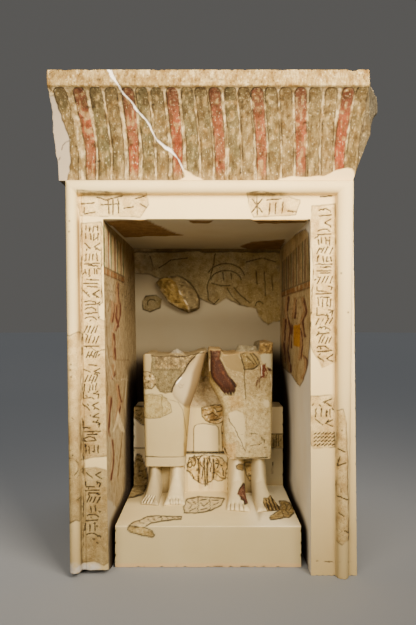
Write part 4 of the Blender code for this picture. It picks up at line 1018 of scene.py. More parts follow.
def back_dress(points):
    """Relief and colours of the back of the niche."""
    across, down, paint, *_ = blank(points, "#b4a889", 1.0, 0.0)
    # darker towards the statues: painted shade
    shade(paint, "#8f8469", ramp(down, 300, 324))
    ragged = 0.8 * rugged(points, 0.03, 401)
    inside = within(across, down, BACK_STONE) + ragged
    small = within(across, down, SMALL_STONE) + 0.6 * ragged
    stone = np.maximum(ramp(inside, -0.4, 0.4), ramp(small, -0.4, 0.4))
    shade(paint, "#a39468", stone)
    # its left part is painted lighter: painted light against the lintel's shadow
    shade(paint, "#f0e2b8", stone * fall(across, 138, 168) * 0.85)
    shade(paint, "#8b743a", stone * ramp(across, 222, 250) * 0.5)
    mottle(paint, points, stone, ("#8d8364", 0.06, 403, 0, 0.8, 0.6), ("#7a6433", 0.04, 405, 0.2, 0.9, 0.5))
    shade(paint, "#77683f", ramp(small, -0.4, 0.4) * 0.75)
    ledge = 252.0 + 1.2 * rugged(points * (1.0, 0.0, 0.0), 0.05, 406)
    frieze = stone * ramp(ledge - down, -0.4, 0.4)
    shade(paint, "#5f4a1f", frieze * (0.75 - 0.5 * fall(across, 142, 158)))
    lines = cover(across + 0.5 * grain(points, 0.02, 407), down, BACK_LINES, 0.42) * stone
    lines *= flecks(points, 0.02, 408, -1, -0.4)
    edge = np.maximum(bell(inside, 0.6), 1.5 * bell(small, 0.6))
    dirt = 1.4 * lines + 0.8 * edge * flecks(points, 0.03, 409, -0.7, 0.2)
    dirt += 0.9 * stone * bell(down - ledge, 0.6)
    pits = flecks(points, 0.01, 411, 0.72, 0.95) * stone
    dirt += 0.6 * pits
    # near black below the statues' tops: painted shadow behind and beside them
    shade(paint, PAINTED_GAP_SHADE, ramp(down, 344, 366))
    rise = 0.004 * stone + 0.0008 * rugged(points, 0.02, 413) * stone - 0.0016 * lines - 0.002 * pits
    rise += 0.006 * frieze
    return paint, 1.0 - stone, 0.05 + 0.8 * stone, dirt, rise


STUMP = ((155, 282), (159.5, 277.5), (167, 275.5), (180, 275), (189, 280.5), (195.5, 289), (200, 299),
         (199.5, 308), (195, 310.5), (188, 312.5), (178, 308.5), (168, 302.5), (161, 293))
STUMP_RIDGE = ((166, 274), (176, 283), (180.5, 294), (187, 304), (190, 314))
STUMP_DEPTH, STUMP_REACH = 2.8, 0.088
STUMP_PIXEL = 0.0039


def stump():
    """Broken stone left standing out of the back, with two fracture faces that meet in a ridge."""
    outline = np.array([*STUMP, STUMP[0]])
    length = np.concatenate(([0.0], np.cumsum(np.hypot(*np.diff(outline, axis=0).T))))
    steps = np.linspace(0.0, length[-1], 97)[:-1]
    rim = np.stack([np.interp(steps, length, outline[:, side]) for side in (0, 1)], 1)
    centre = rim.mean(0)
    shares = np.concatenate(([1.0, 1.0], np.linspace(0.985, 0.02, 34)))
    spots = np.concatenate([centre + (rim - centre) * share for share in shares])
    across, down = spots.T
    flat = np.stack((across * STUMP_PIXEL, np.zeros(len(across)), -down * STUMP_PIXEL), 1)
    edge = np.clip(within(across, down, STUMP), 0.0, 99.0)
    ridge = distance_to(across, down, STUMP_RIDGE)
    left = within(across, down, (*STUMP_RIDGE, (140.0, 320.0), (140.0, 270.0))) > 0.0
    height = np.minimum(1.0 - np.where(left, 0.03, 0.016) * ridge, 0.25 + 0.42 * edge ** 0.55)
    height += 0.1 * rugged(flat, 0.03, 421) + 0.06 * grain(flat, 0.01, 423)
    height[:len(rim)] = -0.12
    height[len(rim):2 * len(rim)] = 0.15
    points = np.stack(((across - LEVEL_X) * STUMP_DEPTH / FOCAL_PIXELS, NICHE_BACK_Y - STUMP_REACH * height,
                       EYE[2] + (LEVEL_Y - down) * STUMP_DEPTH / FOCAL_PIXELS), 1)
    count = len(rim)
    faces = [list(range(count)), [(len(shares) - 1) * count + step for step in range(count)][::-1]]
    for ring in range(len(shares) - 1):
        for step in range(count):
            after = (step + 1) % count
            faces.append([(ring + 1) * count + step, (ring + 1) * count + after, ring * count + after,
                          ring * count + step])
    paint = np.tile(linear("#9c8c62"), (len(points), 1))
    shade(paint, "#7d6f4c", patches(flat, 0.03, 425, -0.2, 0.7) * 0.7)
    shade(paint, "#ab9150", left * ramp(edge, 1, 3))
    shade(paint, "#5f4719", left * patches(flat, 0.02, 427, -0.1, 0.6) * 0.7)
    shade(paint, "#dcc488", flecks(flat, 0.01, 430, 0.3, 0.8) * 0.55)
    shade(paint, "#4f3d1c", flecks(flat, 0.01, 423, -0.9, -0.3) * -0.6 + 0.6)
    shade(paint, "#e9dcba", ramp(1.1 - ridge, 0, 0.5) * flecks(flat, 0.02, 429, -0.4, 0.1))
    # dark rim round the foot of the stone: painted shade where it meets the wall
    shade(paint, "#5a4318", ramp(1.3 - edge, 0, 1.2) * 0.4)
    finish = np.tile((0.35, 0.9, 0.0), (len(points), 1))
    return points, faces, paint, finish, np.zeros(len(points))


def back_wall():
    """Back of the niche between the side walls."""
    us = np.linspace(0.0, 1.0, 192)
    zs = np.concatenate((np.linspace(0.0, 0.42, 30), np.linspace(0.42, NICHE_HEIGHT, 190)[1:]))

    def place(u, d, z, _):
        x = blend(niche_x(z, False), niche_x(z, True), u)
        return np.stack((x, blend(NICHE_BACK_Y, BACK_Y, d), z), 1)

    points, faces, (_, j, _) = skin(us, (0.0, 1.0), zs, place, coarse((40, 40), (1, 9), (12, 1), (12, 1)))
    front = j == 0
    paint, plaster, pitted, dirt, rise = back_dress(points)
    points[front, 1] -= rise[front]
    shade(paint, HIDDEN_PLASTER, ~front)
    plaster[~front], pitted[~front], dirt[~front] = 1.0, 0.05, 0.0
    return points, faces, paint, finish_of(plaster, pitted, dirt), np.zeros(len(points))


CEILING_STONES = (
    ((105.6, 220.5), (145, 219), (176, 233), (184, 235), (125, 236.8)),
    ((188, 219.4), (215, 219.4), (208, 222.8), (192, 222.8)), ((249, 217.3), (309, 217.3), (306, 222),
    (258, 223.2)), ((240, 246), (251.5, 241), (285, 239), (280, 250), (252, 250)))


def lintel():
    """Lintel and ceiling between the side walls."""
    us = np.linspace(0.0, 1.0, 300)
    ds = np.concatenate(([0.0, 0.003, 0.007, 0.013], np.linspace(0.02, BACK_Y - DOOR_Y, 96)))
    zs = np.linspace(NICHE_HEIGHT, WALL_TOP, 52)

    def place(u, d, z, spot):
        x = blend(NICHE_LEFT, NICHE_RIGHT, u)
        y = DOOR_Y + d
        front = spot[1] == 0
        y[front] -= door_height(x[front], z[front])
        return np.stack((x, y, z), 1)

    points, faces, (i, j, k) = skin(us, ds, zs, place, coarse((40, 13), (14, 13), (3, 1), (14, 12)))
    front = j == 0
    paint, plaster, pitted, dirt, rise = front_dress(points, front)
    points[front, 1] -= rise[front]
    under = (k == 0) & ~front & (j < len(ds) - 1)
    across, down = seen(points)
    stone = np.zeros(len(points))
    for shape in CEILING_STONES:
        stone = np.maximum(stone, ramp(within(across, down, shape) + 0.8 * rugged(points, 0.05, 431),
                                       -0.3, 0.4))
    stone *= under
    shade(paint, "#c6c1ac", under)
    shade(paint, "#8a6c3d", stone)
    plaster[under] = 1.0 - stone[under]
    pitted[under] = 0.7 * stone[under]
    points[:, 2] -= 0.003 * stone
    shade(paint, HIDDEN_PLASTER, ~front & ~under)
    wear = ((k == 0) & front & (i > 1) & (i < len(us) - 2)) * 1.0
    return points, faces, paint, finish_of(plaster, pitted, dirt), wear


left_wall_piece = carve("left_wall", [side_wall(False)], wall_stone, "shrine_body")
right_wall_piece = carve("right_wall", [side_wall(True)], wall_stone, "shrine_body")
niche_back_piece = carve("niche_back", [back_wall(), stump()], wall_stone, "shrine_body")
lintel_piece = carve("lintel_and_ceiling", [lintel()], wall_stone, "shrine_body")


# Statues, upper block: two seated figures broken off at the lap, on a bench, with a narrow block between
# them. Worn limestone fragments are set in smooth plaster; one arm keeps its dark red paint.
LAP_BACK_Y = 0.3075
STATUE_LEFT, STATUE_RIGHT = -0.277, 0.272
STATUE_JOINT = 0.258
GROUP_FOOT = STATUE_JOINT + JOINT_GAP
BENCH_FRONT_Y, BENCH_BACK_Y, BENCH_TOP = 0.1725, 0.3325, 0.41
LEFT_KNEE_Y, RIGHT_KNEE_Y, MIDDLE_Y, MIDDLE_BACK_Y = 0.0025, -0.0275, 0.0825, 0.3125
LEFT_LAP, RIGHT_LAP = 0.606, 0.612
MIDDLE_LEFT, MIDDLE_RIGHT = 0.3552, 0.6175
LEFT_RADII, RIGHT_RADII = (0.014, 0.034), (0.026, 0.014)
statue_stone = limestone("limestone_and_lime_plaster_statues", 0.5, 0.55, 1.0, 0.015)


class Dressing:
    """Relief, colours and finish of one skin, laid on in the pixels of the photograph."""

    def __init__(self, points, face, base):
        self.points, self.face = points, face * 1.0
        (self.across, self.down, self.paint, self.plaster, self.pitted, self.dirt,
         self.rise) = blank(points, base, 1.0, 0.05)
        self.lumps = rugged(points, 0.018, 501)

    def wash(self, colour, weight):
        """Colour laid over the skin."""
        shade(self.paint, colour, weight * self.face)

    def inside(self, outline, ragged=0.6):
        """Pixels inside an uneven outline."""
        return within(self.across, self.down, outline) + ragged * self.lumps

    def stone(self, outline, colours, raised=0.0008, edge=0.5, ragged=0.6, rough=0.0007, rim=0.42):
        """Fragment of old stone set in the plaster: colours are its body, its stains and its light parts."""
        deep = self.inside(outline, ragged)
        inner = ramp(deep, -0.35, 0.4) * self.face
        body, stain, light = colours
        shade(self.paint, body, inner)
        mottle(self.paint, self.points, inner, (stain, 0.026, 511, 0, 0.8, 0.7),
               (light, 0.015, 514, 0.15, 0.8, 0.7))
        self.plaster = np.minimum(self.plaster, 1.0 - inner)
        self.pitted = np.maximum(self.pitted, 0.85 * inner)
        seam = bell(deep, rim) * flecks(self.points, 0.02, 517, -0.9, -0.2) * self.face
        self.dirt += 1.5 * edge * seam
        self.rise += inner * (raised + rough * rugged(self.points, 0.009, 519)) - 0.0006 * seam
        return inner

    def plain(self, outline, colour, sunk=0.0005, ragged=0.5):
        """Smooth plaster laid over what is there."""
        inner = ramp(self.inside(outline, ragged), -0.4, 0.5) * self.face
        shade(self.paint, colour, inner)
        self.plaster = np.maximum(self.plaster, inner)
        self.pitted *= 1.0 - inner
        self.dirt *= 1.0 - inner
        self.rise -= sunk * inner
        return inner

    def drawn(self, marks, half, shift=0.0):
        """How much lies under strokes."""
        return cover(self.across + shift, self.down - shift, marks, half) * self.face

    def strokes(self, marks, half=0.42, dirt=0.8, depth=0.001, wobble=0.35, broken=0.0):
        """Thin cut lines."""
        shift = wobble * grain(self.points, 0.012, 523)
        line = self.drawn(marks, half, shift)
        line *= flecks(self.points, 0.02, 525, -1.0 + broken, -0.4 + broken)
        self.dirt += 1.35 * dirt * line
        self.rise -= depth * line
        return line

    def crumbs(self, amount, size, seed, light, height=0.002, dirt=0.8):
        """Broken surface: pale lumps with dark gaps between them."""
        lump = grain(self.points, size, seed) + 0.5 * grain(self.points, 0.5 * size, seed + 1)
        shade(self.paint, light, amount * ramp(lump, 0.1, 0.7) * 0.8)
        self.rise += amount * height * lump
        self.dirt += dirt * amount * ramp(-lump, 0.3, 0.85)

    def pits(self, amount, size, seed, depth=0.0018, dirt=0.7):
        """Scattered small holes."""
        hole = flecks(self.points, size, seed, 0.62, 0.85) * amount * self.face
        self.rise -= depth * hole
        self.dirt += dirt * hole

    def finish(self):
        """Plaster, pitting, and dirt with painted shade of each corner."""
        return finish_of(self.plaster, self.pitted, self.dirt)


def rounded(distance, radius):
    """Depth lost at a distance from a rounded corner."""
    part = np.clip(radius - distance, 0.0, radius)
    return radius - np.sqrt(radius * radius - part * part)


def at_share(share):
    """X at a share of the statues' width."""
    return blend(STATUE_LEFT, STATUE_RIGHT, share)


def left_sides(z):
    """Outer and inner edge of the left figure."""
    up = (z - STATUE_JOINT) / (LEFT_LAP - STATUE_JOINT)
    return (at_share(np.interp(up, (0.0, 1.0), (0.1026, 0.0893))),
            at_share(np.interp(up, (0.0, 0.47, 0.7, 1.0), (0.3588, 0.3843, 0.439, 0.4918))))


def right_sides(z):
    """Inner and outer edge of the right figure."""
    up = (z - STATUE_JOINT) / (RIGHT_LAP - STATUE_JOINT)
    return (at_share(np.interp(up, (0.0, 0.47, 0.7, 1.0), (0.6002, 0.5902, 0.5064, 0.4984))),
            at_share(np.interp(up, (0.0, 1.0), (0.8898, 0.9016))))


def left_lap(share, depth):
    """Broken top of the left figure."""
    top = np.interp(share, (0.0, 0.04, 0.12, 0.17, 0.4, 0.52, 0.66, 0.72, 0.9, 0.97, 1.0),
                    (0.607, 0.613, 0.612, 0.606, 0.606, 0.611, 0.607, 0.608, 0.62, 0.622, 0.619))
    peak = np.exp(-((share - 0.52) / 0.11) ** 2 - ((depth - 0.16) / 0.1) ** 2)
    return top + 0.017 * peak


def right_lap(share, depth):
    """Broken top of the right figure, highest on its outer side."""
    top = np.interp(share, (0.0, 0.03, 0.19, 0.24, 0.33, 0.42, 0.5, 0.77, 0.805, 0.86, 0.93, 1.0),
                    (0.622, 0.627, 0.627, 0.612, 0.611, 0.614, 0.613, 0.614, 0.648, 0.651, 0.648, 0.652))
    peak = np.exp(-(np.maximum(np.abs(share - 0.61) - 0.12, 0.0) / 0.05) ** 2 - ((depth - 0.17) / 0.12) ** 2)
    return top + 0.028 * peak


def skirt(low, sides, radii, front, lap, bow, spacing, dress, full, curl=0.0):
    """Front of a figure, up to a full height, with rounded upright corners and a broken or flat top."""
    us = np.linspace(0.0, 1.0, int(0.215 / spacing))
    ds = np.concatenate((np.linspace(0.0, 0.1, 9), np.linspace(0.1, 1.0, 22)[1:]))
    ks = np.linspace(0.0, 1.0, max(4, int((full - low) / spacing)))

    def place(u, d, k, _):
        left, right = sides(low + k * (full - low))
        width = right - left
        z = low + k * (lap(u, d) - low)
        y = front + rounded(u * width, radii[0]) + rounded((1.0 - u) * width, radii[1])
        y += bow * (1.0 - np.sin(math.pi * u)) / 2.0
        points = np.stack((left + u * width, blend(y, LAP_BACK_Y, d), z), 1)
        points[:, 2] += curl * np.clip(1.0 - u / 0.13, 0.0, 1.0) ** 1.7 * np.clip(1.0 - 7.0 * k, 0.0, 1.0)
        uneven = rugged(points, 0.03, 531) * 0.0035 + grain(points, 0.009, 534) * 0.001
        points[:, 2] += (uneven * np.clip(k * 6.0 - 5.0, 0.0, 1.0) * np.clip(d * 30.0, 0.35, 1.0)
                         * (full > 0.3))
        return points

    points, faces, (_, j, k) = skin(us, ds, ks, place, coarse((22, 30), foot=(12, 6)))
    dressing = dress(points, j == 0, k == len(ks) - 1)
    points[:, 1] -= dressing.rise
    return points, faces, dressing.paint, dressing.finish(), (k > 0) * 1.0


# body, stains and light parts of fragments that are let into the plaster
OLIVE = ("#b0a26f", "#9f8f5e", "#bfb07f")
GOLD = ("#ac965e", "#735d30", "#d8c690")
BROWN = ("#9c8653", "#5c4824", "#cdb884")
LOBE_EDGE = (
    (195, 356.5), (190.6, 361), (187.4, 365.5), (183.7, 372.5), (176, 381.2), (172.8, 387.7), (171.7, 392))
LEFT_BODY = (
    (140, 372.5), (146, 371), (151, 372.5), (151.6, 357), (154, 352), (172, 350), (190, 350), (203, 349),
    (195, 356.5), (192.3, 359), *LOBE_EDGE[2:], (166, 393.5), (160.3, 392.5), (155, 384), (152, 388),
    (145, 387), (140, 388))
LEFT_BAND = (
    (155, 352.5), (172, 350), (203, 348), (193, 357.5), (186.5, 367), (178, 368.6), (165, 367.4),
    (155.6, 366.6))
LEFT_LUMPS = ((141, 373), (147, 371.5), (152, 373.5), (155.5, 378), (156.4, 384), (152, 388.5), (141, 388))
LEFT_OVAL = (
    (141, 395.5), (150, 394), (161.4, 394.2), (166, 398), (170.6, 405), (171.2, 412), (166, 415),
    (160.3, 417.5), (149, 418.6), (141, 417))
LOBE_FOOT = ((173.4, 396.9), (178.8, 402.3), (186, 408))
LOBE = ((205, 350), (195, 357), (190.8, 361), *LOBE_EDGE[2:], *LOBE_FOOT, (205, 408), (212, 350))


def dress_left(points, face, top):
    """Left figure."""
    dress = Dressing(points, face, "#b7a87b")
    across, down = dress.across, dress.down
    dress.wash("#c8b88a", ramp(down, 440, 470) * 0.4)
    dress.stone(LEFT_BODY, ("#7d7250", "#6b6040", "#948862"), raised=0.001, edge=0.4)
    band = dress.stone(LEFT_BAND, ("#736546", "#54452a", "#b7a070"), raised=0.0024, edge=0.0, rough=0.0015)
    dress.crumbs(band, 0.0065, 605, "#b5a06c", 0.0008, 0.5)
    dress.crumbs(dress.face * bell(down - 366.6, 1.3) * ramp(across, 150, 153)
                 * fall(across, 184, 187), 0.007, 607, "#d8c28c", 0.002, 0.8)
    # dark band under the band's crumbled lower edge: painted shadow
    dress.wash("#54462a", bell(down - 369.8, 1.2) * ramp(across, 151, 156) * fall(across, 180, 184)
               * 0.7)
    dress.wash("#9c8a60", ramp(dress.inside(((141, 355), (151.3, 355), (151.3, 372), (141, 372))), -0.4, 0.4)
               * 0.7)
    cluster = dress.stone(LEFT_LUMPS, ("#9c8a5e", "#5a4827", "#cdbb88"), raised=0.0024, edge=0.5, rough=0.002,
                          ragged=1.2)
    dress.crumbs(cluster, 0.0085, 609, "#e3d3a4", 0.0028, 0.95)
    dress.stone(LEFT_OVAL, OLIVE, raised=0.0008, edge=0.45)
    dress.strokes((((162, 394.5), (161.5, 404), (162.5, 416)), ((144, 394.4), (160, 396.5), (178, 402.5)),
                   ((154.5, 384), (160, 392), (171, 391.7))), 0.25, 0.6, 0.0006, 0.5)
    lobe = ramp(within(across, down, LOBE), -0.3, 0.6) * dress.face
    away = distance_to(across, down, (*LOBE_EDGE, *LOBE_FOOT))
    ridge = np.interp(down, (352.0, 358.0, 372.0, 385.0, 395.0, 405.0),
                      (201.0, 197.5, 191.5, 189.0, 186.0, 182.0))
    # the lobe: plaster darker at its top, with painted shade past the ridge where its right side turns from
    # the light
    dress.wash("#b4a580", lobe)
    dress.wash("#96835a", lobe * fall(down, 354, 380) * 0.9)
    dress.wash("#75613e", lobe * ramp(across - ridge, -1.2, 3.4) * 0.95)
    dress.plaster = np.maximum(dress.plaster, lobe)
    dress.pitted *= 1.0 - lobe
    dress.rise = (dress.rise * (1.0 - lobe)
                  + lobe * (0.01 * np.sqrt(1.0 - (1.0 - np.clip(away / 9.0, 0.0, 1.0)) ** 2) - 0.003))
    dress.strokes((((178.3, 385.6), (180.2, 388), (182.6, 387)), ((180, 384), (182, 385.6), (184, 384.4))),
                  0.25, 0.45, 0.001, 0.1)
    # dark line along the broken top edge: painted shadow
    dress.strokes((((151, 355.6), (160, 356.4), (171, 355.7), (178, 357), (185.5, 356.4), (192, 354.5),
                    (204, 352.4)),), 0.55, 0.75, 0.0016, 0.4)
    dress.strokes((LOBE_EDGE,), 0.75, 1.0, 0.0015, 0.25)
    # bright line on a small raised ridge: painted highlight
    dress.wash("#fffbea", dress.drawn((((176.4, 383.4), (180.9, 377.8)),), 0.7))
    dress.rise += 0.0016 * dress.drawn((((176.6, 383.4), (181.1, 377.8)),), 0.9)
    # the skirt's rounded inner corner: painted shade where it turns into the gap, deeper lower down
    flank = ramp(across - 0.4 * grain(points, 0.012, 611), 183, 184.6) * ramp(down, 404, 409)
    dress.wash("#a08a50", flank * 0.9)
    dress.wash("#6d5525", flank * ramp(down, 432, 450) * 0.6)
    dress.strokes((((145, 456.3), (160, 457.3), (178, 457.4), (186, 456)),), 0.42, 1.0, 0.0014, 0.1)
    dress.strokes((((178, 402.5), (182.6, 410), (184.6, 420), (186.8, 436)),), 0.35, 0.6, 0.0008, 0.3)
    shade(dress.paint, "#8d7544", (~face & ~top) * 0.8)
    shade(dress.paint, "#88754d", top * 0.8)
    shade(dress.paint, "#958d79", top * ramp(points[:, 2], LEFT_LAP + 0.006, LEFT_LAP + 0.011)
          * (across > 168) * (across < 190))
    dress.pitted = np.where(top, 0.6, dress.pitted)
    dress.plaster = np.where(top, 0.2, dress.plaster)
    return dress


ARM = (
    (209.2, 346), (221.8, 346), (220.6, 352), (219.6, 358), (222.4, 363.7), (225.3, 369.4), (228.3, 375.2),
    (231.6, 379.6), (234.6, 384.2), (235.4, 390.4), (233.8, 393.2), (232.3, 391.6), (230.9, 394.6),
    (229.3, 392.6), (227.9, 395), (226.3, 392.8), (224.6, 394.2), (222.4, 391.5), (218.9, 386.7),
    (215.3, 382.6), (211.5, 377.5), (210.2, 371.7), (210.2, 362), (210.4, 356))
ARM_LIGHT = ((209.7, 359.6), (209.2, 365), (209.6, 370.4))
THUMB = ((229, 377.5), (232.3, 378.9), (237.2, 385.2), (236, 388), (232, 385))
FINGERS = tuple(((223.4 + 2.6 * number, 386.6 + 0.6 * number), (226.2 + 2.6 * number, 395.0 + 0.2 * number))
                for number in range(4))
WEAR_STONE = ((206, 340), (275, 340), (275, 461), (222, 461), (220, 405), (206, 384))
PALE_LAP = (
    (221, 357), (229, 354.5), (237.3, 354), (241.5, 361), (243.5, 368), (243, 372.5), (234, 371), (226, 367))
PLEATS = ((240.2, 354), (243.7, 365), (244.8, 369.5), (254, 368.5), (260, 363), (257.5, 358), (252, 352))
GREY_PATCH = ((260, 355), (262, 362), (266, 366), (272, 370), (276, 369), (276, 354), (265, 353.5))
PALE_LOWER = (
    (228.5, 413), (236, 410.5), (243, 413), (245, 421), (244.5, 440), (245, 451), (238, 440), (232, 427))
RED_TRACE = (
    (260, 367), (262.5, 364.5), (266.5, 362.8), (265.8, 367.5), (268.4, 373), (266.5, 377.8), (261, 377.8),
    (260.4, 372))
RED_FLAKE = ((266.5, 366.5), (271, 368), (273, 371.4), (268.6, 371.6))


def dress_right(points, face, top):
    """Right figure with the painted arm."""
    dress = Dressing(points, face, "#bfae7d")
    across, down = dress.across, dress.down
    worn = dress.stone(WEAR_STONE, ("#bbab7a", "#ab9866", "#cdbe8e"), raised=0.0008, edge=0.0)
    dress.crumbs(worn * 0.35, 0.0062, 633, "#d9cb9e", 0.0005, 0.7)
    dress.wash("#84704a", fall(down, 384, 402) * 0.55)
    dress.wash("#cfc092", ramp(down, 404, 424) * 0.55)
    dress.wash("#8f7a45", fall(across, 209, 225.5) * ramp(down, 366, 372)
               * fall(down, 396, 416) * 0.95)
    dress.wash("#b08a45", ramp(dress.inside(((229, 396), (241, 395), (243, 407), (230, 411))), -2, 2) * 0.35)
    dress.wash("#b98f45", ramp(dress.inside(((224, 442), (236, 444), (236, 459), (226, 458))), -2, 2) * 0.5)
    dress.pits(ramp(down, 372, 380) * 0.5, 0.0062, 551, 0.0018, 0.6)
    dress.pits(ramp(down, 425, 440) * ramp(across, 238, 246), 0.0085, 553, 0.0022, 0.9)
    dress.plain(PALE_LAP, "#7e6b41", -0.0006)
    dress.plain(PALE_LOWER, "#cabb8e", 0.0)
    dress.plain(((263.3, 402), (265, 399.6), (268, 399.8), (269.8, 403), (268.5, 406.8), (265.5, 407.6),
                 (263.6, 405.5)), "#c6b88f", 0.0)
    dress.plain(GREY_PATCH, "#a39a78", 0.0)
    dress.stone(PLEATS, ("#877547", "#624e28", "#a89568"), raised=0.0025, edge=0.7)
    dress.strokes((((246.6, 356.2), (250, 360), (254, 364)), ((250, 353.4), (253, 358), (257, 364)),
                   ((253, 353), (256.5, 358), (259.6, 362))), 0.45, 0.9, 0.0016, 0.3)
    dress.strokes((((241, 357), (244.2, 369.8), (254, 369), (260, 364.4)),
                   ((244.5, 369.5), (244.3, 380), (245.2, 390), (245.6, 399)),
                   ((228, 418), (234, 427), (237, 433), (245, 451))), 0.4, 0.85, 0.0015, 0.5)
    dress.strokes((((245.6, 399), (246.5, 420), (246, 449)),), 0.22, 0.45, 0.0006, 0.8, 0.4)
    dress.strokes((((237, 435), (246, 434)), ((250, 433), (258, 434)), ((250, 446), (262, 443))), 0.35, 0.7,
                  0.0012, 1.5, 0.5)
    # the painted forearm and hand in low relief
    deep = dress.inside(ARM, 0.25)
    arm = ramp(deep, -0.25, 0.45) * dress.face
    bulge = np.sqrt(np.clip(1.0 - (1.0 - np.clip(deep / 5.2, 0.0, 1.0)) ** 2, 0.0, 1.0))
    dress.rise = dress.rise * (1.0 - arm) + arm * 0.0105 * bulge * fall(down, 384, 397) + 0.0022 * arm
    thumb_deep = dress.inside(THUMB, 0.2)
    thumb = ramp(thumb_deep, -0.25, 0.4) * dress.face
    dress.rise += thumb * 0.0035
    dress.plaster = blend(dress.plaster, 0.7, np.maximum(arm, thumb))
    dress.wash("#3a1b08", np.maximum(arm, thumb))
    dress.wash("#2e1506", arm * patches(points, 0.03, 561, -0.1, 0.8) * 0.6)
    dress.wash("#6b3f1c", arm * patches(points, 0.012, 563, 0.2, 0.9) * 0.5)
    # paler line along the forearm's crest: painted highlight
    dress.wash("#6a3c1a", arm * bell(deep - 3.6, 1) * ramp(down, 362, 372) * 0.25)
    dress.wash("#8f7355", arm * fall(down, 352, 356.5) * patches(points, 0.008, 565, -0.3, 0.5))
    dress.dirt *= 1.0 - 0.8 * arm
    dress.dirt += 0.85 * bell(deep, 0.5) * dress.face * ramp(across - 0.3 * (down - 352.0), 214, 220)
    dress.strokes(FINGERS[:-1], 0.42, 0.95, 0.0022, 0.15)
    dress.strokes((((231, 380), (234.8, 386.8)),), 0.45, 1.0, 0.0022, 0.1)
    tips = ramp(down, 392.2, 394.2) * fall(down, 395, 396.5) * (across > 223) * (across < 235.5)
    dress.dirt += 0.5 * tips * dress.face
    dress.wash("#f3e6c6", dress.drawn((ARM_LIGHT,), 0.55))
    dress.rise += 0.002 * dress.drawn((ARM_LIGHT,), 0.8)
    for shape, colour in ((RED_TRACE, "#5c2a19"), (RED_FLAKE, "#452012")):
        red = ramp(dress.inside(shape, 1.1), -0.3, 0.4) * dress.face
        dress.wash(colour, red * flecks(points * (1.0, 1.0, 0.35), 0.006, 571, -0.75, 0.1))
        dress.plaster *= 1.0 - red
        dress.rise += 0.0015 * red
    dress.wash("#efe0c4", dress.drawn((((261.6, 365.5), (261.4, 371), (261.8, 375.5)),), 0.35))
    lower_red = dress.drawn((((257.8, 378), (256.4, 386)), ((260.6, 377), (258.8, 383), (260, 387.4))), 0.9)
    dress.wash("#4a2112", lower_red * flecks(points, 0.006, 573, -0.5, 0.1))
    dress.wash("#eedfbd", dress.drawn((((270.6, 375), (272, 383), (271.6, 391)),), 0.6) * 0.8)
    dress.strokes((((224.6, 448), (227, 454), (231.4, 457.4), (250, 458.3), (267.8, 457.4)),), 0.55, 1.1,
                  0.0006, 0.3)
    dress.crumbs(ramp(down, 376, 386) * fall(down, 404, 418) * ramp(across, 244, 248)
                 * dress.face * 0.45, 0.006, 615, "#d6c79a", 0.0006, 0.5)
    crown = (face & (points[:, 2] > 0.6145) & (across > 258)) * 1.0
    shade(dress.paint, "#6f5629", crown * 0.9)
    dress.crumbs(crown, 0.0075, 617, "#b49556", 0.0012, 0.8)
    peak = top & (across > 234) & (across < 259.5)
    shade(dress.paint, "#9c8657", (~face & ~top) * 0.8)
    shade(dress.paint, "#b0935d", top * 0.85)
    high = peak * ramp(points[:, 2], 0.618, 0.624)
    shade(dress.paint, "#8e8466", high)
    dress.crumbs(high * 0.7, 0.0075, 619, "#b3aa8e", 0.0012, 0.7)
    dress.pitted = np.where(top, 0.5, dress.pitted)
    dress.plaster = np.where(top, 0.2, dress.plaster)
    return dress


MIDDLE_FRAGMENT = (
    (201.3, 408), (202, 416), (205.5, 420.5), (210, 422.5), (218, 424), (223.6, 421.3), (224.6, 424),
    (226, 452), (222.6, 452), (221.6, 428), (226, 404), (211.6, 405.5))
PANEL_LINE = (
    (193.6, 452), (193.6, 429), (194.6, 426), (197.4, 424.2), (203, 423.6), (211, 424.6), (215.6, 425.2),
    (218.2, 427), (219, 431), (219, 452))


def dress_middle(points, face):
    """Narrow block between the figures and the broken stone above it."""
    dress = Dressing(points, face, "#c9b680")
    across, down = dress.across, dress.down
    web = fall(down, 405.5, 407.5)
    dress.wash("#cbb483", web)
    dress.wash("#8f7748", web * patches(points, 0.018, 581, -0.2, 0.6) * 0.8)
    dress.wash("#ecd9ac", web * patches(points, 0.011, 583, 0.25, 0.8) * 0.7)
    dress.wash("#c5b48c", web * ramp(down, 388, 402) * 0.6)
    dress.plaster *= 1.0 - web
    dress.pitted = np.maximum(dress.pitted, web)
    dress.rise += web * 0.0022 * rugged(points, 0.012, 585)
    panel = ramp(within(across, down, ((193.6, 456.0), *PANEL_LINE, (219.0, 456.0))), -0.3, 0.5)
    dress.wash("#d3c291", panel * 0.9)
    dress.wash("#cdb98f", (1.0 - panel) * (1.0 - web) * (across < 193) * 0.5)
    dress.rise += (panel - 0.5) * 0.003 * (1.0 - web)
    dress.strokes((PANEL_LINE,), 0.38, 0.75, 0.0012, 0.15)
    piece = dress.stone(MIDDLE_FRAGMENT, ("#bd9f60", "#5c3f18", "#f0dca6"), raised=0.0015, edge=1.0,
                        rough=0.0034)
    dress.crumbs(piece, 0.008, 621, "#ecdaa8", 0.0022, 0.9)
    dress.strokes((((224.3, 404), (224.6, 426), (225, 452)),), 0.5, 0.9, 0.001, 0.2)
    dress.strokes((((203, 409), (208, 411), (211, 408)), ((206, 415), (212, 413.4), (218, 416)),
                   ((214, 408), (216.4, 412), (221, 411)), ((210, 419.4), (216, 420.6), (221, 418))), 0.5,
                  1.1, 0.0022, 0.9)
    dress.dirt += 1.4 * ramp(down, 450.6, 451.6) * dress.face
    return dress


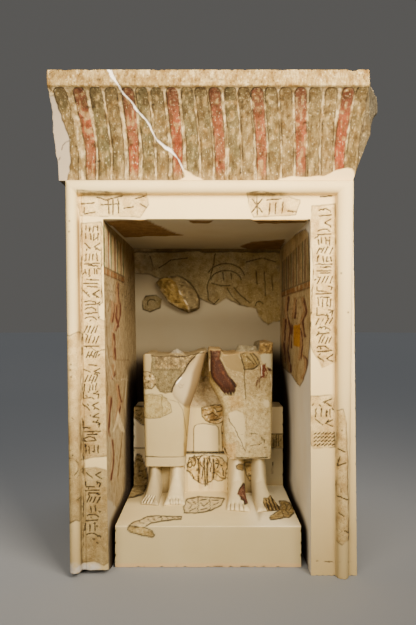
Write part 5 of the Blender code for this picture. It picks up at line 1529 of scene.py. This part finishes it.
def middle_block():
    """Upper half of the block between the figures, with the web of stone above it."""
    us = np.linspace(0.0, 1.0, 66)
    ks = np.linspace(GROUP_FOOT, LEFT_LAP, 150)
    top = STATUE_JOINT + 0.1625

    def place(u, d, z, _):
        x = at_share(blend(MIDDLE_LEFT, MIDDLE_RIGHT, u))
        recess = np.interp(z, (GROUP_FOOT, top - 0.004, top + 0.002, blend(top, LEFT_LAP, 0.28),
                               blend(top, LEFT_LAP, 0.56), blend(top, LEFT_LAP, 0.81),
                               blend(top, LEFT_LAP, 0.96), LEFT_LAP),
                           (0.0, 0.0, 0.016, 0.05, 0.066, 0.045, 0.03, 0.03))
        return np.stack((x, blend(MIDDLE_Y + recess, MIDDLE_BACK_Y, d), z), 1)

    points, faces, (_, j, _) = skin(us, (0.0, 1.0), ks, place, coarse((22, 30), (1, 8), (12, 1), (6, 1)))
    dressing = dress_middle(points, j == 0)
    points[:, 1] -= dressing.rise
    return points, faces, dressing.paint, dressing.finish(), np.ones(len(points))


WING_STONES = (
    ((131, 406), (144, 406), (144.5, 425.7), (141, 424), (136.7, 419.3), (131, 416)),
    ((271, 433.7), (286, 433.7), (286, 450), (271, 450)))
WING_MARKS = (
    ((135, 410), (140, 411)), ((136, 413), (139, 416), (142, 413)), ((138, 418), (142, 420)),
    ((273.5, 435), (273.5, 446)), ((276.2, 435.5), (276.2, 446.5)), ((278.8, 435), (278.8, 446)),
    ((281.4, 436), (281.4, 446.5)))


def slab(low, high, steps, spacing, dress, wear=1.0):
    """Squared block with a dressed front and top."""
    wide, deep, tall = [end - start for start, end in zip(low, high)]
    us = np.linspace(0.0, 1.0, max(2, int(wide / spacing)))
    ds = np.linspace(0.0, 1.0, max(2, int(deep / (spacing * 1.4))))
    ks = np.linspace(0.0, 1.0, max(2, int(tall / spacing)))

    def place(u, d, k, _):
        return np.stack((blend(low[0], high[0], u), blend(low[1], high[1], d), blend(low[2], high[2], k)), 1)

    points, faces, (_, j, k) = skin(us, ds, ks, place, steps)
    face, top = j == 0, k == len(ks) - 1
    dressing = dress(points, face, top)
    points[face, 1] -= dressing.rise[face]
    points[top & ~face, 2] += dressing.rise[top & ~face]
    return points, faces, dressing.paint, dressing.finish(), np.full(len(points), wear)


def dress_bench(points, face, top):
    """Bench that shows as a wing on either side."""
    # near-white base: painted light that lifts the wings, which lie in shade
    dress = Dressing(points, face | top, "#fdf0cc")
    dress.wash("#e3cfa0", points[:, 0] > 0.1)
    for shape in WING_STONES:
        let_in = dress.stone(shape, ("#c9b27a", "#866c3c", "#e8d8a8"), raised=0.0004, edge=0.8, ragged=0.4,
                             rough=0.001)
        dress.crumbs(let_in * 0.6, 0.0075, 629, "#b9a068", 0.0006, 0.8)
    dress.strokes(WING_MARKS, 0.4, 0.9, 0.001, 0.3)
    dress.strokes((((131, 448.6), (146, 448.4)), ((268, 449.6), (286, 449.4))), 0.6, 1.0, 0.001, 0.1)
    return dress


left_figure = skirt(GROUP_FOOT, left_sides, LEFT_RADII, LEFT_KNEE_Y, left_lap, 0.008, 0.0022, dress_left,
                    LEFT_LAP)
right_figure = skirt(GROUP_FOOT, right_sides, RIGHT_RADII, RIGHT_KNEE_Y, right_lap, 0.01, 0.0022, dress_right,
                     RIGHT_LAP, 0.015)
bench = slab((STATUE_LEFT, BENCH_FRONT_Y, GROUP_FOOT), (STATUE_RIGHT, BENCH_BACK_Y, BENCH_TOP),
             coarse((20, 10), (8, 10), (20, 8), (2, 1)), 0.0042, dress_bench)
group_piece = carve("statue_laps_and_bench", [left_figure, right_figure, middle_block(), bench], statue_stone,
                    "statue_group")


# Statues, lower block: plinth, seat, the strip of hem, the ankles and feet and the worn small legs between
# the figures. It is mostly smooth plaster over stone, with a few inscribed and painted fragments let in.
PLINTH_FRONT_Y, PLINTH_BACK_Y, PLINTH_TOP = -0.3405, 0.3725, 0.122
HEM_FOOT = STATUE_JOINT - 0.0315
SHADE_Y = 0.0625
TUCK = 0.004
PLINTH_STONES = (
    ((183.7, 507), (186.9, 499), (198.9, 496.7), (212, 497.2), (224.4, 498.3), (221.2, 505.4), (211.6, 510.2),
    (195.7, 513.4), (184.5, 512.6)), ((181.5, 516.5), (180.9, 519), (168.1, 520.3), (150.9, 522.8),
    (149, 524.1), (144.5, 527.3), (128.6, 526), (133.7, 522.2), (142.6, 519), (147.1, 516.5), (158.6, 515.8)))
PLINTH_BROWN = (
    ((127.3, 529.8), (128.6, 526.2), (144.5, 527.3), (152.2, 531.1), (154.9, 535.6), (152.2, 537.5),
    (138.2, 534.3), (130.5, 532.4)), ((279.6, 501), (285.2, 500.6), (289, 502.6), (294.2, 509.2),
    (293.9, 512.8), (288.3, 518.4), (285.7, 517.9), (270.9, 519.6), (269, 517.5), (275, 513), (281, 509)),
    ((136.7, 454), (141, 455), (146.3, 468.8), (147.8, 483.1), (143, 494.3), (127, 498.8), (128, 490),
    (132, 482), (134, 466)))
PLINTH_MARKS = (
    ((198.4, 496.9), (198, 513)), ((209.8, 497.3), (210, 510.4)), ((187, 502), (192, 505), (189, 509)),
    ((192, 500), (196, 504)), ((190, 511), (196, 508)), ((200.5, 500), (207, 499)),
    ((201, 503), (204, 506), (208, 502.5)), ((201, 509.5), (207, 508)), ((212, 500.5), (219, 500)),
    ((213, 505), (218, 503)), ((148, 519), (150, 521)), ((153, 517.5), (155, 520.5)),
    ((158, 518), (160.5, 517), (162, 519.5)), ((166, 517), (168, 519)), ((172, 517.5), (175, 519)),
    ((177.5, 516.8), (178.5, 518.6)), ((139, 521), (144, 523.5)), ((284, 503), (287, 508)),
    ((288, 505), (285.5, 511), (289.5, 514)), ((282, 511), (284, 517)), ((291, 508), (289, 511)))
FOOT_SHADES = (
    (((161, 478), (167, 478), (166.5, 500), (163, 506), (160.5, 498)), 0.6),
    (((253, 478), (261, 478), (263, 512), (259, 520), (255.5, 508)), 0.6),
    (((128, 478), (144, 478), (141, 502), (126, 502)), 0.5))


def dress_plinth(points, face, top):
    """Plinth and what is let into its top and front."""
    dress = Dressing(points, face | top, "#e2d09a")
    # front laid darker than the top: painted fall-off of the light towards the foot
    dress.wash("#b5a67c", face * 0.9)
    dress.wash("#eadaa8", top * 0.8)
    dress.wash("#fdf4d4", top * ramp(points[:, 0], 0.08, 0.16) * 0.7)
    dress.wash("#cba777", face * ramp(0.012 - points[:, 2], -0.004, 0.004) * 0.6)
    for shape in PLINTH_STONES:
        dress.stone(shape, ("#e4d4a2", "#cbb47e", "#f0e2b8"), raised=0.0004, edge=1.4, rough=0.0008, rim=0.55)
    for shape in PLINTH_BROWN:
        gold = dress.stone(shape, GOLD, raised=0.001, edge=1.4, rough=0.0018, rim=0.55)
        dress.crumbs(gold * 0.7, 0.0075, 625, "#d9c68c", 0.0006, 0.9)
    dress.strokes(PLINTH_MARKS, 0.4, 1.0, 0.001, 0.6)
    # painted shadows on the plinth top beside and between the feet
    for shape, amount in FOOT_SHADES:
        dress.wash("#857044", ramp(dress.inside(shape, 0.0), -3, 2.5) * amount)
    chips = (flecks(points * (1.0, 0.0, 0.0), 0.016, 591, 0.55, 0.75) * face
             * ramp(0.0045 - points[:, 2], 0, 0.002))
    dress.dirt += 0.95 * chips
    dress.rise -= 0.002 * chips
    shade(dress.paint, HIDDEN_PLASTER, ~face & ~top)
    return dress


def dress_hem(points, face, _):
    """Strip of hem under the joint."""
    dress = Dressing(points, face, "#bcad82")
    dress.wash("#a89869", ramp(dress.down, 465.6, 467.6) * 0.7)
    dress.dirt += 0.45 * fall(dress.down, 456.8, 457.8) * dress.face
    return dress


def dress_seat(points, face, top):
    """Front of the seat below the bench."""
    dress = Dressing(points, face | top, "#f6e6bd")
    dress.wash("#b3a47e", points[:, 0] > 0.1)
    dress.wash("#b39a66", ramp(0.135 - points[:, 2], -0.02, 0.02) * 0.4)
    seat_stone = dress.stone(PLINTH_BROWN[2], ("#b8a069", "#6b5229", "#dcc996"), raised=0.001, edge=0.8,
                             rough=0.0018)
    dress.crumbs(seat_stone * 0.6, 0.0075, 631, "#c9b47c", 0.0006, 0.8)
    dress.strokes((((138, 459), (143, 462)), ((138.5, 464), (139, 472), (144, 470)), ((139, 476), (146, 478)),
                   ((272.5, 463), (272, 474))), 0.45, 0.85, 0.001, 0.6)
    return dress


def dress_shade(points, face, _):
    """Web of stone between the ankles, in brown shadow."""
    dress = Dressing(points, face, "#978559")
    dress.wash("#75603a", ramp(dress.down, 482, 496) * 0.6)
    for shape in (((244.7, 463), (249, 461.5), (254, 464), (253, 472), (252, 479), (249.6, 480.6),
                   (246.4, 474), (244.5, 468)), ((264, 462), (268.4, 461.6), (268, 475), (264.6, 474))):
        knot = dress.stone(shape, BROWN, raised=0.003, edge=1.0, rough=0.003)
        dress.crumbs(knot, 0.007, 627, "#c4a96b", 0.0016, 0.9)
    return dress


MIDDLE_REMAINS = (
    (186.9, 464), (189.3, 457.6), (195.7, 456), (205.3, 455.4), (219.6, 456.6), (226.6, 463.6), (226, 479.9),
    (213.2, 480.4), (206, 485.2), (198.9, 481.5), (193.3, 478.3), (187.7, 470.4))


def dress_lower_middle(points, face):
    """Worn small legs between the figures."""
    dress = Dressing(points, face, "#dccb98")
    across, down = dress.across, dress.down
    fade = fall(down, 482, 494)
    worn = dress.stone(MIDDLE_REMAINS, ("#e0c684", "#8a672e", "#f6e6b8"), raised=0.0016, edge=1.0,
                       rough=0.0034, ragged=1.6)
    dress.crumbs(worn * fall(down, 472, 482), 0.0085, 623, "#e8d49c", 0.0024, 0.9)
    dress.strokes((((204.2, 458), (204.6, 470), (205.2, 486)), ((207.4, 460), (207.2, 470), (207, 485)),
                   ((198.6, 459), (198.8, 470), (198.6, 482)), ((213.4, 459), (214, 468), (212.8, 478))),
                  0.75, 1.0, 0.004, 0.5)
    dress.strokes((oval(190.0, 464.8, 2.4, 2.4, 0.0, 6.3, 9), ((187, 470), (192, 473), (194, 478)),
                   ((193, 457), (196, 461), (194, 466)), ((217, 458), (219, 463), (217, 468)),
                   ((216, 474), (221, 478.5), (225.5, 478)), ((194, 455.5), (198, 460), (202, 455)),
                   ((222, 468), (224, 476)), ((209, 457), (211.6, 463), (210.4, 471)),
                   ((189, 459), (191.4, 461.4)), ((200.6, 462), (202.8, 468), (201.4, 478)),
                   ((215.6, 463), (221.6, 465))), 0.5, 1.1, 0.0022, 0.8)
    legs = bell(across - 201.6, 2) + bell(across - 210.4, 2)
    dress.rise += 0.01 * legs * dress.face * ramp(down, 457, 461) * fade
    dress.wash("#dcc9a3", legs * 0.4)
    dress.dirt += 0.9 * fall(down, 453.4, 455.2) * dress.face
    return dress


def lower_middle():
    """Lower half of the block between the figures."""
    us = np.linspace(0.0, 1.0, 70)
    ks = np.linspace(PLINTH_TOP - TUCK, STATUE_JOINT, 64)

    def place(u, d, z, _):
        x = at_share(blend(MIDDLE_LEFT - 0.008, MIDDLE_RIGHT + 0.008, u))
        sides = np.maximum(ramp(0.1 - u, 0, 0.1), ramp(u, 0.9, 1)) * ramp(0.234 - z, 0, 0.012)
        front = MIDDLE_Y + 0.004 - 0.022 * sides
        return np.stack((x, blend(front, MIDDLE_BACK_Y, d), z), 1)

    points, faces, (_, j, _) = skin(us, (0.0, 1.0), ks, place, coarse((22, 20), (1, 8), (12, 1), (6, 1)))
    dressing = dress_lower_middle(points, j == 0)
    points[:, 1] -= dressing.rise
    return points, faces, dressing.paint, dressing.finish(), np.ones(len(points))


TOES = (
    ((147.9, 495.2), (143.2, 502.2)), ((150.6, 495.4), (145.6, 503.2)), ((153, 495.6), (148.4, 503.8)),
    ((155.2, 496), (151.8, 504.2)), ((169.6, 499.4), (170.6, 504.6)), ((172.6, 498.8), (173.2, 504.8)),
    ((175.6, 498.6), (176, 505)), ((178.4, 498.8), (178.8, 504.6)), ((230.6, 504), (230.1, 510.8)),
    ((234.7, 503.2), (234.2, 512.2)), ((239.2, 504), (239.3, 513)), ((242.8, 504.4), (244.4, 513.4)))
TOE_RIDGES = (
    ((146.8, 495.2), (142, 501.8)), ((149.5, 495.4), (144.4, 502.8)), ((152, 495.6), (147.2, 503.4)),
    ((154.2, 496), (150.4, 504)))


def dress_leg(points, broken):
    """Ankle and foot of smooth plaster; the last foot keeps its old broken front."""
    dress = Dressing(points, np.ones(len(points), bool), "#ddcfa4")
    dress.wash("#b9ab84", ramp(-points[:, 0], 0.132, 0.15))
    dress.wash("#d8c6a0", ramp(points[:, 2], 0.2, 0.235) * 0.3)
    if broken == "painted":
        dress.stone(((243.2, 483.4), (239.8, 488.5), (237, 494.1), (239.1, 495.6), (241.1, 497.7),
                     (241.1, 499.4), (244.2, 500.7), (244.7, 504.5), (248.8, 502.5), (247.5, 496.1),
                     (247, 489), (245.2, 484.9)), ("#5f3626", "#33160d", "#a07a5c"), raised=0.0012, edge=1.4,
                    rough=0.0018, ragged=0.3, rim=0.6)
        dress.stone(((236.3, 466), (239, 464), (243.5, 464.6), (243, 470), (239, 469.6), (237, 468.6)), BROWN,
                    0.001, 0.9)
    elif broken == "stone":
        dress.stone(((263.8, 498), (267.3, 498.2), (270.9, 494.9), (272.2, 493), (274, 495.4), (278, 499.5),
                     (281.6, 505.1), (282.4, 510), (279.6, 513.2), (275.5, 516.2), (271.4, 518.8),
                     (268.4, 518.8), (269.6, 513.3), (267.3, 510.2), (264.8, 506.1), (263.3, 502)),
                    ("#aa935c", "#4f3a18", "#e4d09a"), raised=0.0015, edge=1.0, rough=0.0022, ragged=0.3)
        dress.strokes((((265.6, 500), (268.2, 508), (271.6, 515)), ((268.6, 499), (271.2, 507), (274.4, 514)),
                       ((271.6, 497), (274.4, 505), (277.2, 512)),
                       ((274.6, 498), (277.4, 505), (280, 510.5))), 0.75, 1.0, 0.0028, 0.4)
    # dark lines between the toes, cut in a little: painted shade in the creases; pale lines on the toe
    # ridges: painted highlights
    dress.strokes(TOES, 0.34, 0.6, 0.0012, 0.1)
    dress.wash("#efe0b6", dress.drawn(TOE_RIDGES, 0.5) * 0.9)
    return dress


LEG_SETBACK, FOOT_LENGTH, INSTEP, TOE_HEIGHT = 0.015, 0.11, 0.022, 0.019


def leg_and_foot(edges, toes, front, tip, big_left, top_z, broken):
    """Foot and ankle as one swept form. Each row is an arch from one side over the crest to the other; the
    arches stand upright along the foot and turn level up the leg."""
    big_share = np.array((0.0, 0.3, 0.5, 0.68, 0.84, 1.0))
    rows_y = np.concatenate((np.linspace(0.0, 0.04, 24), np.linspace(0.04, FOOT_LENGTH, 24)[1:]))
    along_foot = rows_y / FOOT_LENGTH
    count_up, ring = 44, 84
    rows = len(rows_y) + count_up
    turn = np.concatenate((np.zeros(len(rows_y)), np.minimum(np.linspace(0.0, 2.2, count_up), 1.0)))
    reach = front - tip
    crest_y = np.concatenate((tip + along_foot * (reach - INSTEP),
                              front - INSTEP + INSTEP * np.sin(np.linspace(0.0, math.pi / 2.0, count_up))))
    climb = np.interp(along_foot, (0.0, 0.02, 0.06, 0.14, 0.3, 0.5, 0.75, 1.0),
                      (0.3, 0.62, 0.92, 1.05, 1.15, 1.55, 2.35, 3.45)) * TOE_HEIGHT
    up = np.linspace(0.0, 1.0, count_up)
    crest_z = np.concatenate((PLINTH_TOP + climb, PLINTH_TOP + climb[-1] + (top_z - PLINTH_TOP - climb[-1])
                              * up ** 0.9))
    toe_left, toe_right = at_share(toes[0]), at_share(toes[1])
    leg_left, leg_right = at_share(edges[0]), at_share(edges[1])
    spread = np.concatenate((ramp(rows_y, 0, 0.125) * 0.92, np.linspace(0.92, 1.0, count_up)))
    swell = np.concatenate((np.zeros(len(rows_y)), 0.0035 * np.sin(up * math.pi) - 0.004
                            * ramp(up, 0.2, 0.7)))
    s = np.linspace(-1.0, 1.0, ring)
    points = []
    for row in range(rows):
        left = blend(toe_left, leg_left, spread[row]) - 0.5 * swell[row]
        right = blend(toe_right, leg_right, spread[row]) + 0.5 * swell[row]
        middle, half = (left + right) / 2.0, (right - left) / 2.0
        x = middle + half * np.sin(s * math.pi / 2.0)
        share = (x - left) / (right - left)
        inner = np.clip(share if big_left else 1.0 - share, 0.0, 1.0)
        angle = turn[row] * math.pi / 2.0
        drop_y, drop_z = math.sin(angle), -math.cos(angle)
        depth = blend(crest_z[row] - PLINTH_TOP + 0.004, 0.1, turn[row])
        arch = 1.0 - np.cos(s * math.pi / 2.0) ** (2.0 * blend(0.42, 0.5, turn[row]))
        y = np.full(ring, crest_y[row])
        z = np.full(ring, crest_z[row])
        if row < len(rows_y):
            near_toes = fall(rows_y[row], 0.02, 0.044)
            y = y + reach * 0.14 * inner ** 1.6 * (1.0 - along_foot[row])
            number = np.clip(np.searchsorted(big_share, inner, side="right") - 1, 0, 4)
            low_share, high_share = big_share[number], big_share[number + 1]
            q = (inner - low_share) / (high_share - low_share) * 2.0 - 1.0
            lift = np.sqrt(np.clip(1.0 - 0.92 * q * q, 0.0, 1.0))
            y = y + 0.006 * (1.0 - lift) * near_toes * ramp(-rows_y[row], -0.016, 0)
            toe_height = (crest_z[row] - PLINTH_TOP) * blend(1.0, 0.72, inner)
            z = blend(z, PLINTH_TOP + toe_height * (0.45 + 0.55 * lift), near_toes)
            arch = blend(arch, arch * 0.55 + 0.45 * np.abs(s) ** 8, near_toes * 0.6)
            z = z - arch * (z - PLINTH_TOP + 0.004)
        else:
            y = y + drop_y * depth * arch
            z = z + drop_z * depth * arch
        points.append(np.stack((x, y, z), 1))
    part = np.linspace(0.0, 1.0, 8)[1:-1][:, None]
    joined = np.concatenate([part_points for arch_points in points
                             for part_points in (arch_points, blend(arch_points[-1], arch_points[0], part))])
    around = ring + len(part)
    faces = []
    for row in range(rows - 1):
        for step in range(around):
            after = (step + 1) % around
            faces.append([row * around + step, row * around + after, (row + 1) * around + after,
                          (row + 1) * around + step])
    faces.append(list(range(around))[::-1])
    faces.append([(rows - 1) * around + step for step in range(around)])
    dressing = dress_leg(joined, broken)
    joined[:, 1] -= dressing.rise * 0.7
    joined[:, 2] += dressing.rise * 0.7 * (joined[:, 2] < 0.2)
    return joined, faces, dressing.paint, dressing.finish(), np.zeros(len(joined))


plinth = slab((STATUE_LEFT, PLINTH_FRONT_Y, 0.0), (STATUE_RIGHT, PLINTH_BACK_Y, PLINTH_TOP),
              coarse((20, 10), (10, 10), (20, 20)), 0.0034, dress_plinth)
seat = slab((STATUE_LEFT, BENCH_FRONT_Y, PLINTH_TOP - TUCK), (STATUE_RIGHT, BENCH_BACK_Y, STATUE_JOINT),
            coarse((20, 10), (8, 10), (20, 8), (20, 8)), 0.0042, dress_seat)
hem = skirt(HEM_FOOT, left_sides, LEFT_RADII, LEFT_KNEE_Y, lambda u, d: STATUE_JOINT, 0.008, 0.0026,
            dress_hem, STATUE_JOINT)
WEB_STEPS = coarse((20, 20), (8, 10), (20, 8), (20, 8))
left_web, right_web = (slab((at_share(left), SHADE_Y, PLINTH_TOP - TUCK),
                            (at_share(right), BENCH_FRONT_Y + TUCK, top), WEB_STEPS, spacing, dress_shade)
                       for left, right, top, spacing in ((0.131, 0.341, HEM_FOOT + TUCK, 0.0035),
                                                         (0.641, 0.851, STATUE_JOINT, 0.0028)))
LEFT_TIP = LEFT_KNEE_Y - 0.12
RIGHT_TIP = RIGHT_KNEE_Y - 0.168
legs = [leg_and_foot(edges, toes, knee + LEG_SETBACK, tip, big_left, top, broken)
        for edges, toes, knee, tip, big_left, top, broken in (
            ((0.1175, 0.2049), (0.0929, 0.2058), LEFT_KNEE_Y, LEFT_TIP, False, HEM_FOOT + TUCK, ""),
            ((0.2523, 0.3497), (0.2304, 0.3616), LEFT_KNEE_Y, LEFT_TIP, True, HEM_FOOT + TUCK, ""),
            ((0.6284, 0.7286), (0.602, 0.7459), RIGHT_KNEE_Y, RIGHT_TIP, False, STATUE_JOINT, "painted"),
            ((0.776, 0.8634), (0.7778, 0.9271), RIGHT_KNEE_Y, RIGHT_TIP, True, STATUE_JOINT, "stone"))]
base_piece = carve("statue_plinth_and_feet", [plinth, seat, hem, left_web, right_web, lower_middle(), *legs],
                   statue_stone, "statue_base")
